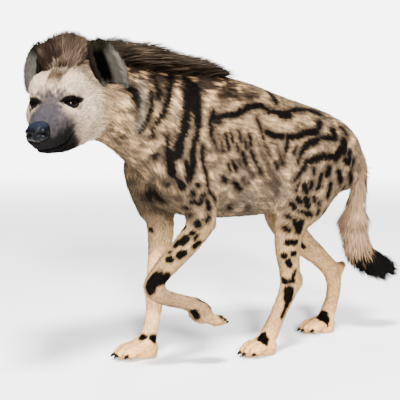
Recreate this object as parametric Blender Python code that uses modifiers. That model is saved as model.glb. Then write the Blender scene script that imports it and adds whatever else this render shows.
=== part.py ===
"""A spotted hyena at life size, in mid walk with its left forefoot lifted and its head turned to its left.

The body is blocked out from overlapping lumps and tapered limbs, fused into one smooth form and parted
with thin cuts into head, neck, torso, legs and tail. The mane, the forelock and the brush of the tail are
flat tapered locks. Metres, +Z up, the hyena faces -Y and its left side is at +X.
"""

import math
import random

import bmesh
import bpy
from mathutils import Euler, Matrix, Vector
from mathutils.bvhtree import BVHTree

# Driving dimensions
CUT = 0.0003                 # the gap that touching pieces keep
EYE_RADIUS = 0.0235
EYE_MOUND = 0.0250
LID_THICKNESS = 0.0022
LID_WIDTH = 0.045
LID_HEIGHT = 0.031
LID_SLANT = 8
EYE_AHEAD = -0.121
EYE_LEVEL = 0.037
EYE_TURN = math.radians(33)
EYE_SPACING = 0.041          # from the middle of the face to the middle of an eye
EAR_HEIGHT = 0.131
EAR_WIDTH = 0.080
EAR_SHELL = 0.006
EAR_CUP = 0.034
EAR_LEAN = 0.030
EAR_PITCH = -4
EAR_YAW = 42
EAR_ROOT = (0.099, 0.034, 0.034)
EAR_ROWS = 8
EAR_COLUMNS = 6
MOUTH_SIDE = ((-0.132, -0.032), (-0.150, -0.043), (-0.174, -0.051))
MOUTH_TURN = (-0.196, -0.051)
MOUTH_FRONT = (70, 45, 22, 0, -22, -45, -70)
MOUTH_GROOVE = 0.0024
CLAW_LENGTH = 0.012
CLAW_LEAN = 68

# Locks of long hair
LOCK_SIDES = 4
LOCK_STATIONS = ((0.0, 0.8), (0.32, 1.0), (0.66, 0.74))
LOCK_THICKNESS = 0.34
LOCK_ROOT = 0.020
LOCK_CAST = 1.2
LOCK_JITTER = 0.10
LOCK_SEED = 12
LOCK_CLEARANCE = 0.001       # between a lock and an ear beside it
LOCK_SHORTER = (1, 0.8, 0.65)
MANE_START = -0.445
MANE_END = -0.165
MANE_STEP = 0.031
MANE_COLUMN = 0.026
MANE_LENGTH = 0.106
MANE_WIDTH = 0.050
MANE_FADE = 0.10
RIDGE_START = -0.095
RIDGE_STEPS = 6
CREST_START = -0.046
CREST_STEP = 0.025
CREST_ROWS = 5
CREST_COLUMNS = 4
CREST_COLUMN = 0.029
CREST_LENGTH = 0.084
CREST_WIDTH = 0.046
TAIL_BARE = 3
TAIL_ROUND = 6
TAIL_HAIR = 0.095
TAIL_LOCK_WIDTH = 0.040
BRUSH_LENGTH = 0.080
SOLE_LEVEL = 0.0

# How finely the forms are meshed
BODY_VOXEL = 0.0075
HEAD_VOXEL = 0.0045
PAW_VOXEL = 0.0038
BODY_TRIANGLES = 4800
HEAD_TRIANGLES = 1650
PAW_TRIANGLES = 480
NOSE_VOXEL = 0.003
NOSE_TRIANGLES = 260
TAIL_TRIANGLES = 240

# The head's own frame: -Y along the muzzle, its origin under the crown at the level of the nose tip
HEAD_PLACE = Vector((0.036, -0.561, 0.716))
HEAD_YAW = 44
HEAD_PITCH = 13
HEAD_ROLL = -3
HEAD = Matrix.Translation(HEAD_PLACE) @ Euler(
    (math.radians(HEAD_PITCH), math.radians(HEAD_ROLL), math.radians(HEAD_YAW)), "YXZ"
).to_matrix().to_4x4()


def material(name, colour, roughness):
    """A plain coat, skin or horn colour."""
    made = bpy.data.materials.new(name)
    made.use_nodes = True
    shader = made.node_tree.nodes["Principled BSDF"]
    shader.inputs["Base Color"].default_value = (*colour, 1)
    shader.inputs["Roughness"].default_value = roughness
    made.diffuse_color = (*colour, 1)
    return made


def smooth_between(values, step, share):
    """Catmull-Rom value between values[step] and values[step + 1]."""
    last = len(values) - 1
    a, b = values[max(step - 1, 0)], values[step]
    c, d = values[min(step + 1, last)], values[min(step + 2, last)]
    return 0.5 * (
        2 * b
        + (c - a) * share
        + (2 * a - 5 * b + 4 * c - d) * share**2
        + (3 * b - a - 3 * c + d) * share**3
    )


def stations_along(stations, between):
    """The stations with smoothly placed ones between them, as (centre, half width, half depth)."""
    rows = [Vector(s) for s in stations]
    found = []
    for step in range(len(rows) - 1):
        for part in range(between):
            found.append(smooth_between(rows, step, part / between))
    found.append(rows[-1])
    return [(Vector(r[:3]), r[3], r[4]) for r in found]


class Flesh:
    """Closed forms that overlap, gathered in one mesh before they are fused."""

    def __init__(self):
        self.mesh = bmesh.new()

    def lump(self, centre, radii, turn=(0, 0, 0), place=Matrix()):
        """An ellipsoid. turn is in degrees about its own X, Y and Z."""
        spin = Euler([math.radians(t) for t in turn]).to_matrix().to_4x4()
        matrix = place @ Matrix.Translation(centre) @ spin @ Matrix.Diagonal((*radii, 1))
        bmesh.ops.create_uvsphere(self.mesh, u_segments=20, v_segments=12, radius=1, matrix=matrix)

    def limb(self, stations, place=Matrix(), sides=20, between=4, dome=0.8):
        """A tapered tube with domed ends. A station is (x, y, z, half width, half depth)."""
        rows = stations_along(stations, between)
        lateral = place.to_3x3() @ Vector((1, 0, 0))
        rows = [(place @ centre, width, depth) for centre, width, depth in rows]
        rings = []
        for index, (centre, width, depth) in enumerate(rows):
            ahead = rows[min(index + 1, len(rows) - 1)][0] - rows[max(index - 1, 0)][0]
            along = ahead.normalized()
            side = (lateral - lateral.dot(along) * along).normalized()
            rings.append((centre, along, side, side.cross(along), width, depth))
        start, end = rings[0], rings[-1]
        caps = [math.radians(angle) for angle in (70, 45, 20)]
        first = [self.capped(start, -math.sin(a) * dome, math.cos(a)) for a in caps]
        last = [self.capped(end, math.sin(a) * dome, math.cos(a)) for a in reversed(caps)]
        self.skin_rings(first + rings + last, sides)

    @staticmethod
    def capped(ring, push, shrink):
        centre, along, side, up, width, depth = ring
        moved = centre + along * push * (width + depth) / 2
        return moved, along, side, up, width * shrink, depth * shrink

    def skin_rings(self, rings, sides):
        loops = []
        for centre, _, side, up, width, depth in rings:
            loop = []
            for corner in range(sides):
                angle = 2 * math.pi * corner / sides
                point = centre + side * width * math.cos(angle) + up * depth * math.sin(angle)
                loop.append(self.mesh.verts.new(point))
            loops.append(loop)
        for near, far in zip(loops, loops[1:]):
            for corner in range(sides):
                after = (corner + 1) % sides
                self.mesh.faces.new((near[corner], far[corner], far[after], near[after]))
        self.mesh.faces.new(loops[0])
        self.mesh.faces.new(list(reversed(loops[-1])))

    def fused(self, name, voxel, rounds, triangles, softer=()):
        """The forms as one smooth closed body of about that many triangles."""
        bmesh.ops.recalc_face_normals(self.mesh, faces=self.mesh.faces)
        data = bpy.data.meshes.new(name)
        self.mesh.to_mesh(data)
        self.mesh.free()
        body = bpy.data.objects.new(name, data)
        bpy.context.scene.collection.objects.link(body)
        remesh = body.modifiers.new("fuse", "REMESH")
        remesh.mode = "VOXEL"
        remesh.voxel_size = voxel
        smooth = body.modifiers.new("smooth", "SMOOTH")
        smooth.factor = 0.5
        smooth.iterations = rounds
        apply_modifiers(body)
        for more, inside in softer:
            soften(body, more, inside)
        thin = body.modifiers.new("thin", "DECIMATE")
        thin.ratio = min(1, triangles / (2 * len(body.data.polygons)))
        thin.use_collapse_triangulate = True
        apply_modifiers(body)
        return body


def soften(body, rounds, inside):
    """Smooths the points that inside says yes to, a little each round."""
    mesh = bmesh.new()
    mesh.from_mesh(body.data)
    chosen = [v for v in mesh.verts if inside(v.co)]
    for _ in range(rounds):
        bmesh.ops.smooth_vert(mesh, verts=chosen, factor=0.5, use_axis_x=True, use_axis_y=True, use_axis_z=True)
    mesh.to_mesh(body.data)
    mesh.free()


def apply_modifiers(body):
    """Replaces the object's mesh by its evaluated one and drops the modifiers."""
    graph = bpy.context.evaluated_depsgraph_get()
    data = bpy.data.meshes.new_from_object(body.evaluated_get(graph))
    body.modifiers.clear()
    old = body.data
    body.data = data
    bpy.data.meshes.remove(old)


# The trunk: y, top, bottom, half width
TRUNK = (
    (-0.362, 0.700, 0.535, 0.080),
    (-0.330, 0.770, 0.480, 0.106),
    (-0.280, 0.812, 0.430, 0.125),
    (-0.190, 0.824, 0.402, 0.136),
    (-0.070, 0.808, 0.392, 0.144),
    (0.050, 0.774, 0.394, 0.145),
    (0.150, 0.748, 0.416, 0.136),
    (0.240, 0.722, 0.444, 0.124),
    (0.305, 0.692, 0.472, 0.106),
    (0.345, 0.662, 0.505, 0.082),
)
NECK = (
    (0.052, -0.565, 0.752, 0.082, 0.092),
    (0.034, -0.500, 0.741, 0.092, 0.112),
    (0.012, -0.410, 0.725, 0.103, 0.128),
    (0.000, -0.300, 0.674, 0.114, 0.156),
)
TAIL = (
    (0.000, 0.340, 0.622, 0.030, 0.034),
    (0.000, 0.396, 0.585, 0.028, 0.031),
    (0.000, 0.416, 0.520, 0.026, 0.029),
    (0.000, 0.409, 0.445, 0.025, 0.027),
    (0.001, 0.399, 0.370, 0.025, 0.027),
    (0.003, 0.410, 0.300, 0.024, 0.025),
    (0.006, 0.444, 0.254, 0.018, 0.020),
    (0.008, 0.480, 0.230, 0.010, 0.011),
)


def trunk(flesh):
    stations = [(0, y, (top + low) / 2, width, (top - low) / 2) for y, top, low, width in TRUNK]
    flesh.limb(stations, sides=28)
    flesh.limb(NECK, sides=24)
    for side in (1, -1):
        # Shoulder blade, its muscles and the haunch
        flesh.lump((side * 0.068, -0.235, 0.650), (0.060, 0.115, 0.160), (14, 0, side * -4))
        flesh.lump((side * 0.084, -0.235, 0.520), (0.052, 0.085, 0.120), (24, 0, 0))
        flesh.lump((side * 0.066, 0.240, 0.575), (0.064, 0.140, 0.125), (-20, 0, 0))
        flesh.lump((side * 0.052, 0.320, 0.545), (0.056, 0.070, 0.100), (0, 0, 0))


# Each leg as its stations from the trunk down to the knuckles
FORE_LEFT = (
    (0.098, -0.285, 0.560, 0.044, 0.074),
    (0.116, -0.250, 0.475, 0.048, 0.060),
    (0.124, -0.222, 0.425, 0.043, 0.050),
    (0.125, -0.262, 0.368, 0.040, 0.042),
    (0.121, -0.315, 0.315, 0.036, 0.037),
    (0.114, -0.360, 0.268, 0.031, 0.032),
    (0.110, -0.374, 0.236, 0.030, 0.031),
    (0.111, -0.340, 0.210, 0.028, 0.027),
    (0.114, -0.285, 0.192, 0.027, 0.025),
    (0.117, -0.245, 0.180, 0.028, 0.024),
)
FORE_RIGHT = (
    (-0.098, -0.305, 0.560, 0.044, 0.072),
    (-0.112, -0.270, 0.465, 0.046, 0.066),
    (-0.113, -0.232, 0.405, 0.044, 0.054),
    (-0.105, -0.232, 0.330, 0.040, 0.043),
    (-0.094, -0.250, 0.245, 0.032, 0.034),
    (-0.085, -0.262, 0.180, 0.030, 0.033),
    (-0.080, -0.270, 0.120, 0.026, 0.028),
    (-0.077, -0.288, 0.062, 0.028, 0.028),
)
HIND_LEFT = (
    (0.080, 0.220, 0.540, 0.060, 0.105),
    (0.096, 0.150, 0.460, 0.056, 0.085),
    (0.102, 0.088, 0.390, 0.048, 0.060),
    (0.098, 0.075, 0.320, 0.039, 0.047),
    (0.090, 0.087, 0.250, 0.031, 0.038),
    (0.083, 0.092, 0.195, 0.028, 0.035),
    (0.077, 0.062, 0.125, 0.026, 0.029),
    (0.072, 0.030, 0.062, 0.029, 0.029),
)
HIND_RIGHT = (
    (-0.080, 0.225, 0.540, 0.060, 0.105),
    (-0.096, 0.200, 0.455, 0.056, 0.088),
    (-0.100, 0.200, 0.375, 0.047, 0.066),
    (-0.096, 0.260, 0.303, 0.038, 0.047),
    (-0.088, 0.335, 0.240, 0.030, 0.036),
    (-0.084, 0.380, 0.190, 0.028, 0.034),
    (-0.084, 0.386, 0.125, 0.026, 0.028),
    (-0.087, 0.366, 0.062, 0.028, 0.028),
)
# Each paw as where its heel stands, its heading and pitch in degrees, and its scale
PAWS = {
    "forepaw_left": ((0.117, -0.203, 0.176), 0, 148, 1.0),
    "forepaw_right": ((-0.078, -0.318, 0.0), -4, 0, 1.08),
    "hindpaw_left": ((0.070, 0.000, 0.0), 6, 0, 1.0),
    "hindpaw_right": ((-0.088, 0.335, 0.0), -4, 0, 1.0),
}
LEG_OF_PAW = {
    "forepaw_left": FORE_LEFT,
    "forepaw_right": FORE_RIGHT,
    "hindpaw_left": HIND_LEFT,
    "hindpaw_right": HIND_RIGHT,
}
TOES = ((-0.030, -0.030, 0.0130), (-0.011, -0.050, 0.0150), (0.011, -0.050, 0.0150), (0.030, -0.030, 0.0130))


def paw_matrix(name):
    place, heading, pitch, scale = PAWS[name]
    turn = Euler((math.radians(pitch), 0, math.radians(heading)), "XYZ").to_matrix().to_4x4()
    return Matrix.Translation(place) @ turn @ Matrix.Scale(scale, 4)


def paw(flesh, name):
    """A broad paw with four toes and its pads. Its frame has -Y ahead and the sole at z = 0."""
    place = paw_matrix(name)
    flesh.lump((0, 0.014, 0.030), (0.036, 0.042, 0.032), place=place)
    flesh.lump((0, 0.020, 0.012), (0.030, 0.034, 0.017), place=place)
    for x, y, radius in TOES:
        toe = [
            (x * 0.75, y + 0.045, 0.032, radius, radius),
            (x * 0.95, y + 0.016, 0.031, radius * 1.12, radius * 1.15),
            (x, y - 0.004, 0.019, radius, radius * 1.1),
        ]
        flesh.limb(toe, place=place, sides=14, between=3)


def legs(flesh):
    for stations in (FORE_LEFT, FORE_RIGHT, HIND_LEFT, HIND_RIGHT):
        flesh.limb(stations)
    # Hocks and the knob of each wrist
    flesh.lump((0.085, 0.124, 0.208), (0.020, 0.020, 0.034), (-20, 0, 0))
    flesh.lump((-0.084, 0.412, 0.206), (0.020, 0.022, 0.032), (-45, 0, 0))


MUZZLE = (
    (0, -0.070, 0.012, 0.068, 0.060),
    (0, -0.120, 0.006, 0.059, 0.052),
    (0, -0.165, -0.002, 0.055, 0.046),
    (0, -0.200, -0.010, 0.049, 0.040),
    (0, -0.220, -0.015, 0.043, 0.033),
)
JAW = (
    (0, -0.020, -0.058, 0.058, 0.036),
    (0, -0.090, -0.056, 0.052, 0.034),
    (0, -0.155, -0.050, 0.042, 0.030),
    (0, -0.205, -0.044, 0.033, 0.025),
    (0, -0.222, -0.042, 0.028, 0.021),
)


def skull(flesh):
    """The head's forms, in the head's own frame."""
    flesh.lump((0, -0.020, 0.050), (0.088, 0.105, 0.080), place=HEAD)
    flesh.lump((0, -0.085, 0.054), (0.062, 0.060, 0.056), place=HEAD)
    flesh.lump((0, 0.008, 0.096), (0.058, 0.066, 0.048), place=HEAD)
    flesh.limb(MUZZLE, place=HEAD, sides=24)
    flesh.limb(JAW, place=HEAD, sides=24)
    for side in (1, -1):
        # Cheek, jaw muscle, temple, brow, upper lip, root of the ear and the mound round the eye
        flesh.lump((side * 0.048, -0.064, 0.002), (0.050, 0.078, 0.060), place=HEAD)
        flesh.lump((side * 0.046, -0.010, -0.026), (0.052, 0.080, 0.058), place=HEAD)
        flesh.lump((side * 0.040, -0.072, 0.066), (0.040, 0.060, 0.046), place=HEAD)
        flesh.lump((side * 0.038, -0.116, 0.058), (0.028, 0.028, 0.020), place=HEAD)
        flesh.lump((side * 0.022, -0.212, -0.020), (0.026, 0.036, 0.025), place=HEAD)
        flesh.lump((side * 0.070, 0.016, 0.056), (0.034, 0.040, 0.042), place=HEAD)
        flesh.lump((side * 0.066, -0.020, 0.030), (0.036, 0.060, 0.044), place=HEAD)
        flesh.lump((side * 0.030, -0.122, 0.010), (0.036, 0.056, 0.036), place=HEAD)
        flesh.lump(eye_centre(side), (EYE_MOUND, EYE_MOUND, EYE_MOUND), place=HEAD)


def eye_centre(side):
    return Vector((side * EYE_SPACING, EYE_AHEAD, EYE_LEVEL))


def eye_gaze(side):
    """The way an eye looks, in the head's frame."""
    return Vector((side * math.sin(EYE_TURN), -math.cos(EYE_TURN), 0.08)).normalized()


def facing(normal, side=Vector((1, 0, 0))):
    """A turn whose Z is the normal and whose X is as near the side as it can be."""
    up = Vector(normal).normalized()
    across = (side - side.dot(up) * up).normalized()
    return Matrix((across, up.cross(across), up)).transposed().to_4x4()


def new_object(name, mesh):
    """The bmesh as an object of that name."""
    bmesh.ops.recalc_face_normals(mesh, faces=mesh.faces)
    data = bpy.data.meshes.new(name)
    mesh.to_mesh(data)
    mesh.free()
    made = bpy.data.objects.new(name, data)
    bpy.context.scene.collection.objects.link(made)
    return made


def box(name, place, half):
    mesh = bmesh.new()
    bmesh.ops.create_cube(mesh, size=2, matrix=place @ Matrix.Diagonal((*half, 1)))
    return new_object(name, mesh)


def ball(name, place, radii, segments=24, rings=14):
    mesh = bmesh.new()
    matrix = place @ Matrix.Diagonal((*radii, 1))
    bmesh.ops.create_uvsphere(mesh, u_segments=segments, v_segments=rings, radius=1, matrix=matrix)
    return new_object(name, mesh)


def combine(body, operation, pieces, solver="EXACT"):
    """Joins the pieces to the body, or cuts them from it, and removes them."""
    group = bpy.data.collections.new("pieces")
    for piece in pieces:
        group.objects.link(piece)
    modifier = body.modifiers.new("combine", "BOOLEAN")
    modifier.operation = operation
    modifier.operand_type = "COLLECTION"
    modifier.collection = group
    modifier.solver = solver
    apply_modifiers(body)
    for piece in pieces:
        bpy.data.objects.remove(piece)
    bpy.data.collections.remove(group)
    keep_largest(body)


def shells(mesh):
    """The mesh's connected groups of faces."""
    left = set(mesh.faces)
    groups = []
    while left:
        stack = [left.pop()]
        group = []
        while stack:
            face = stack.pop()
            group.append(face)
            for edge in face.edges:
                for near in edge.link_faces:
                    if near in left:
                        left.remove(near)
                        stack.append(near)
        groups.append(group)
    return groups


def keep_largest(body):
    """Drops loose scraps, and a hollow that the joining sealed."""
    mesh = bmesh.new()
    mesh.from_mesh(body.data)
    groups = sorted(shells(mesh), key=lambda group: sum(face.calc_area() for face in group))
    scraps = [face for group in groups[:-1] for face in group]
    bmesh.ops.delete(mesh, geom=scraps, context="FACES")
    bmesh.ops.dissolve_degenerate(mesh, dist=0.00001, edges=mesh.edges)
    bmesh.ops.triangulate(mesh, faces=mesh.faces)
    mesh.to_mesh(body.data)
    mesh.free()


def swollen(body, by):
    """A copy whose surface lies further out."""
    mesh = bmesh.new()
    mesh.from_mesh(body.data)
    mesh.normal_update()
    moves = [v.normal * by for v in mesh.verts]
    for v, move in zip(mesh.verts, moves):
        v.co += move
    return new_object("swollen", mesh)


def trimmed(body, cut, keep):
    """Takes away what lies past the cut. keep is 1 for the side that the cut's normal points to, or -1."""
    centre, normal, _ = CUTS[cut]
    away = Matrix.Translation(Vector(centre) - Vector(normal).normalized() * keep * (FAR - CUT / 2)) @ facing(normal)
    combine(body, "DIFFERENCE", [box("trim", away, (FAR, FAR, FAR))])


# Each cut's middle, normal and half sizes. The normal points away from the trunk.
CUTS = {
    "neck": ((0.000, -0.270, 0.690), (0.000, -0.683, 0.730), (0.200, 0.235)),
    "head": ((0.030, -0.487, 0.745), (0.362, -0.896, 0.259), (0.150, 0.160)),
    "thigh_left": ((0.1015, 0.222, 0.494), (0.554, 0.384, -0.738), (0.123, 0.230)),
    "thigh_right": ((-0.1015, 0.222, 0.494), (-0.554, 0.384, -0.738), (0.123, 0.230)),
    "shank_left": ((0.100, 0.082, 0.350), (-0.050, -0.180, -0.980), (0.070, 0.075)),
    "shank_right": ((-0.098, 0.222, 0.350), (0.050, 0.630, -0.770), (0.062, 0.085)),
    "hind_pastern_left": ((0.081, 0.080, 0.162), (-0.080, -0.400, -0.910), (0.050, 0.055)),
    "hind_pastern_right": ((-0.084, 0.388, 0.150), (0.000, 0.090, -1.000), (0.050, 0.055)),
    "hindpaw_left": ((0.0725, 0.034, 0.070), (-0.070, -0.430, -0.900), (0.050, 0.050)),
    "hindpaw_right": ((-0.087, 0.369, 0.072), (0.000, -0.300, -0.950), (0.050, 0.050)),
    "foreleg_left": ((0.1245, -0.238, 0.396), (0.000, -0.600, -0.800), (0.060, 0.066)),
    "foreleg_right": ((-0.113, -0.236, 0.392), (0.060, -0.100, -0.990), (0.062, 0.088)),
    "fore_pastern_left": ((0.111, -0.340, 0.210), (0.030, 0.950, -0.310), (0.045, 0.045)),
    "fore_pastern_right": ((-0.082, -0.266, 0.152), (0.050, -0.120, -0.990), (0.050, 0.050)),
    "forepaw_left": ((0.1165, -0.250, 0.182), (0.050, 0.950, -0.300), (0.045, 0.045)),
    "forepaw_right": ((-0.078, -0.284, 0.078), (0.050, -0.280, -0.960), (0.050, 0.050)),
}
# A point inside each piece of the body, by which it is named
SEEDS = {
    "torso": (0.000, 0.000, 0.600),
    "neck": (0.015, -0.370, 0.750),
    "head": (0.070, -0.600, 0.740),
    "thigh_left": (0.095, 0.170, 0.420),
    "thigh_right": (-0.095, 0.220, 0.420),
    "shank_left": (0.090, 0.085, 0.250),
    "shank_right": (-0.092, 0.300, 0.265),
    "hind_pastern_left": (0.077, 0.058, 0.115),
    "hind_pastern_right": (-0.085, 0.380, 0.110),
    "hindpaw_left": (0.071, 0.000, 0.030),
    "hindpaw_right": (-0.088, 0.335, 0.030),
    "foreleg_left": (0.120, -0.310, 0.310),
    "foreleg_right": (-0.095, -0.245, 0.260),
    "fore_pastern_left": (0.114, -0.290, 0.195),
    "fore_pastern_right": (-0.080, -0.275, 0.110),
    "forepaw_left": (0.117, -0.190, 0.165),
    "forepaw_right": (-0.078, -0.318, 0.030),
}
FAR = 0.6


def parted(body):
    """Cuts the body at every place in CUTS and returns its pieces by name."""
    mesh = bmesh.new()
    for centre, normal, half in CUTS.values():
        place = Matrix.Translation(centre) @ facing(normal) @ Matrix.Diagonal((*half, CUT / 2, 1))
        bmesh.ops.create_cube(mesh, size=2, matrix=place)
    blades = new_object("blades", mesh)
    modifier = body.modifiers.new("part", "BOOLEAN")
    modifier.operation = "DIFFERENCE"
    modifier.object = blades
    modifier.solver = "EXACT"
    apply_modifiers(body)
    bpy.data.objects.remove(blades)
    mesh = bmesh.new()
    mesh.from_mesh(body.data)
    bpy.data.objects.remove(body)
    groups = shells(mesh)
    pieces = {}
    for name, seed in SEEDS.items():
        def away(group):
            points = {v for face in group for v in face.verts}
            middle = sum((v.co for v in points), Vector()) / len(points)
            return (middle - Vector(seed)).length
        pieces[name] = copied(name, min(groups, key=away))
    mesh.free()
    return pieces


def copied(name, faces):
    """Those faces as an object of their own."""
    mesh = bmesh.new()
    points = {}
    for face in faces:
        corners = []
        for v in face.verts:
            if v not in points:
                points[v] = mesh.verts.new(v.co)
            corners.append(points[v])
        mesh.faces.new(corners)
    bmesh.ops.triangulate(mesh, faces=mesh.faces)
    return new_object(name, mesh)


def surface(body):
    """A search tree of the object's faces."""
    mesh = bmesh.new()
    mesh.from_mesh(body.data)
    tree = BVHTree.FromBMesh(mesh)
    mesh.free()
    return tree


def grown_surface(body, by):
    """A search tree of the object's faces once they lie further out."""
    grown = swollen(body, by)
    tree = surface(grown)
    bpy.data.objects.remove(grown)
    return tree


def mouth_line(head):
    """A groove that runs from one corner of the mouth round the front to the other."""
    tree = surface(head)
    rays = [((0, y, z), (1, 0, 0)) for y, z in MOUTH_SIDE]
    for angle in MOUTH_FRONT:
        turn = math.radians(angle)
        rays.append(((0, MOUTH_TURN[0], MOUTH_TURN[1]), (math.sin(turn), -math.cos(turn), 0)))
    rays += [((0, y, z), (-1, 0, 0)) for y, z in reversed(MOUTH_SIDE)]
    points = []
    for origin, way in rays:
        hit = tree.ray_cast(HEAD @ Vector(origin), HEAD.to_3x3() @ Vector(way))[0]
        points.append(hit)
    flesh = Flesh()
    smooth = [Vector((*point, 0)) for point in points]
    route = []
    for step in range(len(smooth) - 1):
        route += [smooth_between(smooth, step, 0).to_3d(), smooth_between(smooth, step, 0.5).to_3d()]
    route.append(points[-1])
    flesh.limb([(*point, MOUTH_GROOVE, MOUTH_GROOVE) for point in route], sides=6, between=1, dome=0.6)
    return new_object("mouth", flesh.mesh)


def eye(side, name):
    place = HEAD @ Matrix.Translation(eye_centre(side))
    return ball(name, place, (EYE_RADIUS, EYE_RADIUS, EYE_RADIUS), 16, 9)


def lids(side):
    """A skin of the lids' thickness over the eye, before the opening is cut in it."""
    radius = EYE_RADIUS + LID_THICKNESS
    return ball("lids", HEAD @ Matrix.Translation(eye_centre(side)), (radius, radius, radius), 14, 9)


def eye_cutters(side):
    """The socket round the eye and the almond opening between its lids."""
    socket = EYE_RADIUS + CUT
    centre = eye_centre(side)
    place = HEAD @ Matrix.Translation(centre)
    gaze = eye_gaze(side)
    slant = Matrix.Rotation(math.radians(side * -LID_SLANT), 4, "Z")
    opening = HEAD @ Matrix.Translation(centre + gaze * EYE_RADIUS) @ facing(gaze) @ slant
    return [
        ball("socket", place, (socket, socket, socket), 16, 9),
        ball("opening", opening, (LID_WIDTH / 2, LID_HEIGHT / 2, EYE_RADIUS * 0.9), 16, 8),
    ]


def nose():
    """The bare pad with its comma-shaped nostrils."""
    flesh = Flesh()
    flesh.lump((0, -0.243, 0.001), (0.029, 0.026, 0.021), (14, 0, 0), place=HEAD)
    flesh.lump((0, -0.246, -0.010), (0.018, 0.021, 0.021), place=HEAD)
    for side in (1, -1):
        flesh.lump((side * 0.017, -0.246, -0.005), (0.014, 0.021, 0.017), place=HEAD)
    pad = flesh.fused("nose", NOSE_VOXEL, 3, NOSE_TRIANGLES)
    nostrils = []
    for side in (1, -1):
        flesh = Flesh()
        comma = [
            (side * 0.0120, -0.270, -0.003, 0.0040, 0.0046),
            (side * 0.0180, -0.268, -0.003, 0.0050, 0.0056),
            (side * 0.0260, -0.261, -0.004, 0.0032, 0.0040),
            (side * 0.0330, -0.251, -0.007, 0.0016, 0.0024),
        ]
        flesh.limb(comma, place=HEAD, sides=8, between=1)
        nostrils.append(new_object("nostril", flesh.mesh))
    combine(pad, "DIFFERENCE", nostrils)
    return pad


def ear(side, name):
    """A rounded cup, open forwards and outwards."""
    mesh = bmesh.new()
    rows = []
    for up_step in range(EAR_ROWS + 1):
        rise = up_step / EAR_ROWS
        # Wide below the middle, round at the tip, drawn in at the root
        reach = math.sqrt(max(1 - ((rise - 0.40) / 0.62) ** 2, 0.0))
        half = EAR_WIDTH / 2 * reach
        row = []
        for across in range(EAR_COLUMNS + 1):
            u = 2 * across / EAR_COLUMNS - 1
            cup = EAR_CUP * (u * u * reach - 0.9 * (1 - u * u) * (1 - rise))
            lean = EAR_LEAN * rise
            point = Vector((u * half - lean, -cup, rise * EAR_HEIGHT))
            row.append(mesh.verts.new(point))
        rows.append(row)
    for low, high in zip(rows, rows[1:]):
        for across in range(EAR_COLUMNS):
            mesh.faces.new((low[across], low[across + 1], high[across + 1], high[across]))
    turn = Euler((math.radians(EAR_PITCH), 0, math.radians(EAR_YAW))).to_matrix().to_4x4()
    shape = Matrix.Diagonal((side, 1, 1, 1)) @ Matrix.Translation(EAR_ROOT) @ turn
    bmesh.ops.transform(mesh, matrix=HEAD @ shape, verts=mesh.verts)
    data = bpy.data.meshes.new(name)
    mesh.to_mesh(data)
    mesh.free()
    made = bpy.data.objects.new(name, data)
    bpy.context.scene.collection.objects.link(made)
    shell = made.modifiers.new("shell", "SOLIDIFY")
    shell.thickness = EAR_SHELL
    shell.offset = 0
    apply_modifiers(made)
    mesh = bmesh.new()
    mesh.from_mesh(made.data)
    bmesh.ops.triangulate(mesh, faces=mesh.faces)
    bmesh.ops.recalc_face_normals(mesh, faces=mesh.faces)
    mesh.to_mesh(made.data)
    mesh.free()
    return made


def lock(root, normal, rise, lie, length, width):
    """A flat tapered lock that leaves the skin along rise and bends over to lie."""
    mesh = bmesh.new()
    rings = []
    for share, breadth in LOCK_STATIONS:
        centre = root + length * (rise * (share - share**2 / 2) + lie * share**2 / 2)
        along = (rise * (1 - share) + lie * share).normalized()
        side = along.cross(normal).normalized()
        up = side.cross(along)
        half = width * breadth / 2
        thick = half * LOCK_THICKNESS
        corners = (side * half, up * thick, -side * half, -up * thick)
        rings.append([mesh.verts.new(centre + corner) for corner in corners])
    tip = mesh.verts.new(root + length * (rise + lie) / 2)
    for low, high in zip(rings, rings[1:]):
        for corner in range(LOCK_SIDES):
            after = (corner + 1) % LOCK_SIDES
            mesh.faces.new((low[corner], low[after], high[after], high[corner]))
    for corner in range(LOCK_SIDES):
        mesh.faces.new((rings[-1][corner], rings[-1][(corner + 1) % LOCK_SIDES], tip))
    mesh.faces.new(rings[0])
    return new_object("lock", mesh)


def coat_locks(body, spots, place, draw, beside=()):
    """Locks on top of the body. A spot is (x, y, length, width, rise, lie, face) in the frame of place."""
    tree = surface(body)
    fences = [grown_surface(near, LOCK_CLEARANCE) for near in beside]
    down = place.to_3x3() @ Vector((0, 0, -1))
    locks = []
    for x, y, length, width, rise, lie, face in spots:
        point, normal = tree.ray_cast(place @ Vector((x, y, LOCK_CAST)), down)[:2]
        if point is None:
            continue
        jitter = Vector([draw.uniform(-LOCK_JITTER, LOCK_JITTER) for _ in range(3)])
        lie_way = (place.to_3x3() @ Vector(lie) + jitter).normalized()
        rise_way = (normal * rise + lie_way * (1 - rise)).normalized()
        reach = length * draw.uniform(0.9, 1.1)
        flat = (place.to_3x3() @ Vector(face)).normalized()
        for shorter in LOCK_SHORTER:
            made = lock(point - rise_way * LOCK_ROOT, flat, rise_way, lie_way, reach * shorter + LOCK_ROOT, width * shorter)
            touching = surface(made)
            if not any(touching.overlap(fence) for fence in fences):
                locks.append(made)
                break
            bpy.data.objects.remove(made)
    return locks


def mane_spots():
    """Rows along the nape, longest over the middle of the neck."""
    spots = []
    steps = round((MANE_END - MANE_START) / MANE_STEP)
    for step in range(steps + 1):
        y = MANE_START + step * MANE_STEP
        fade = min(1, (MANE_END - y) / MANE_FADE + 0.62, (y - MANE_START) / MANE_FADE + 0.74)
        middle = max(0, (MANE_START + 0.12 - y)) * 0.25
        for column in (-1, 0, 1):
            x = middle + (column + (step % 2 - 0.5) * 0.5) * MANE_COLUMN
            outward = (x - middle) / MANE_COLUMN
            length = MANE_LENGTH * fade * (1 - 0.15 * abs(outward))
            lie = (outward * 0.30, 1, -0.10 - abs(outward) * 0.14)
            face = (1 if outward > 0 else -1, 0, 0.25 + 0.5 * abs(outward))
            spots.append((x, y, length, MANE_WIDTH, 0.72, lie, face))
    return spots


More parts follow.
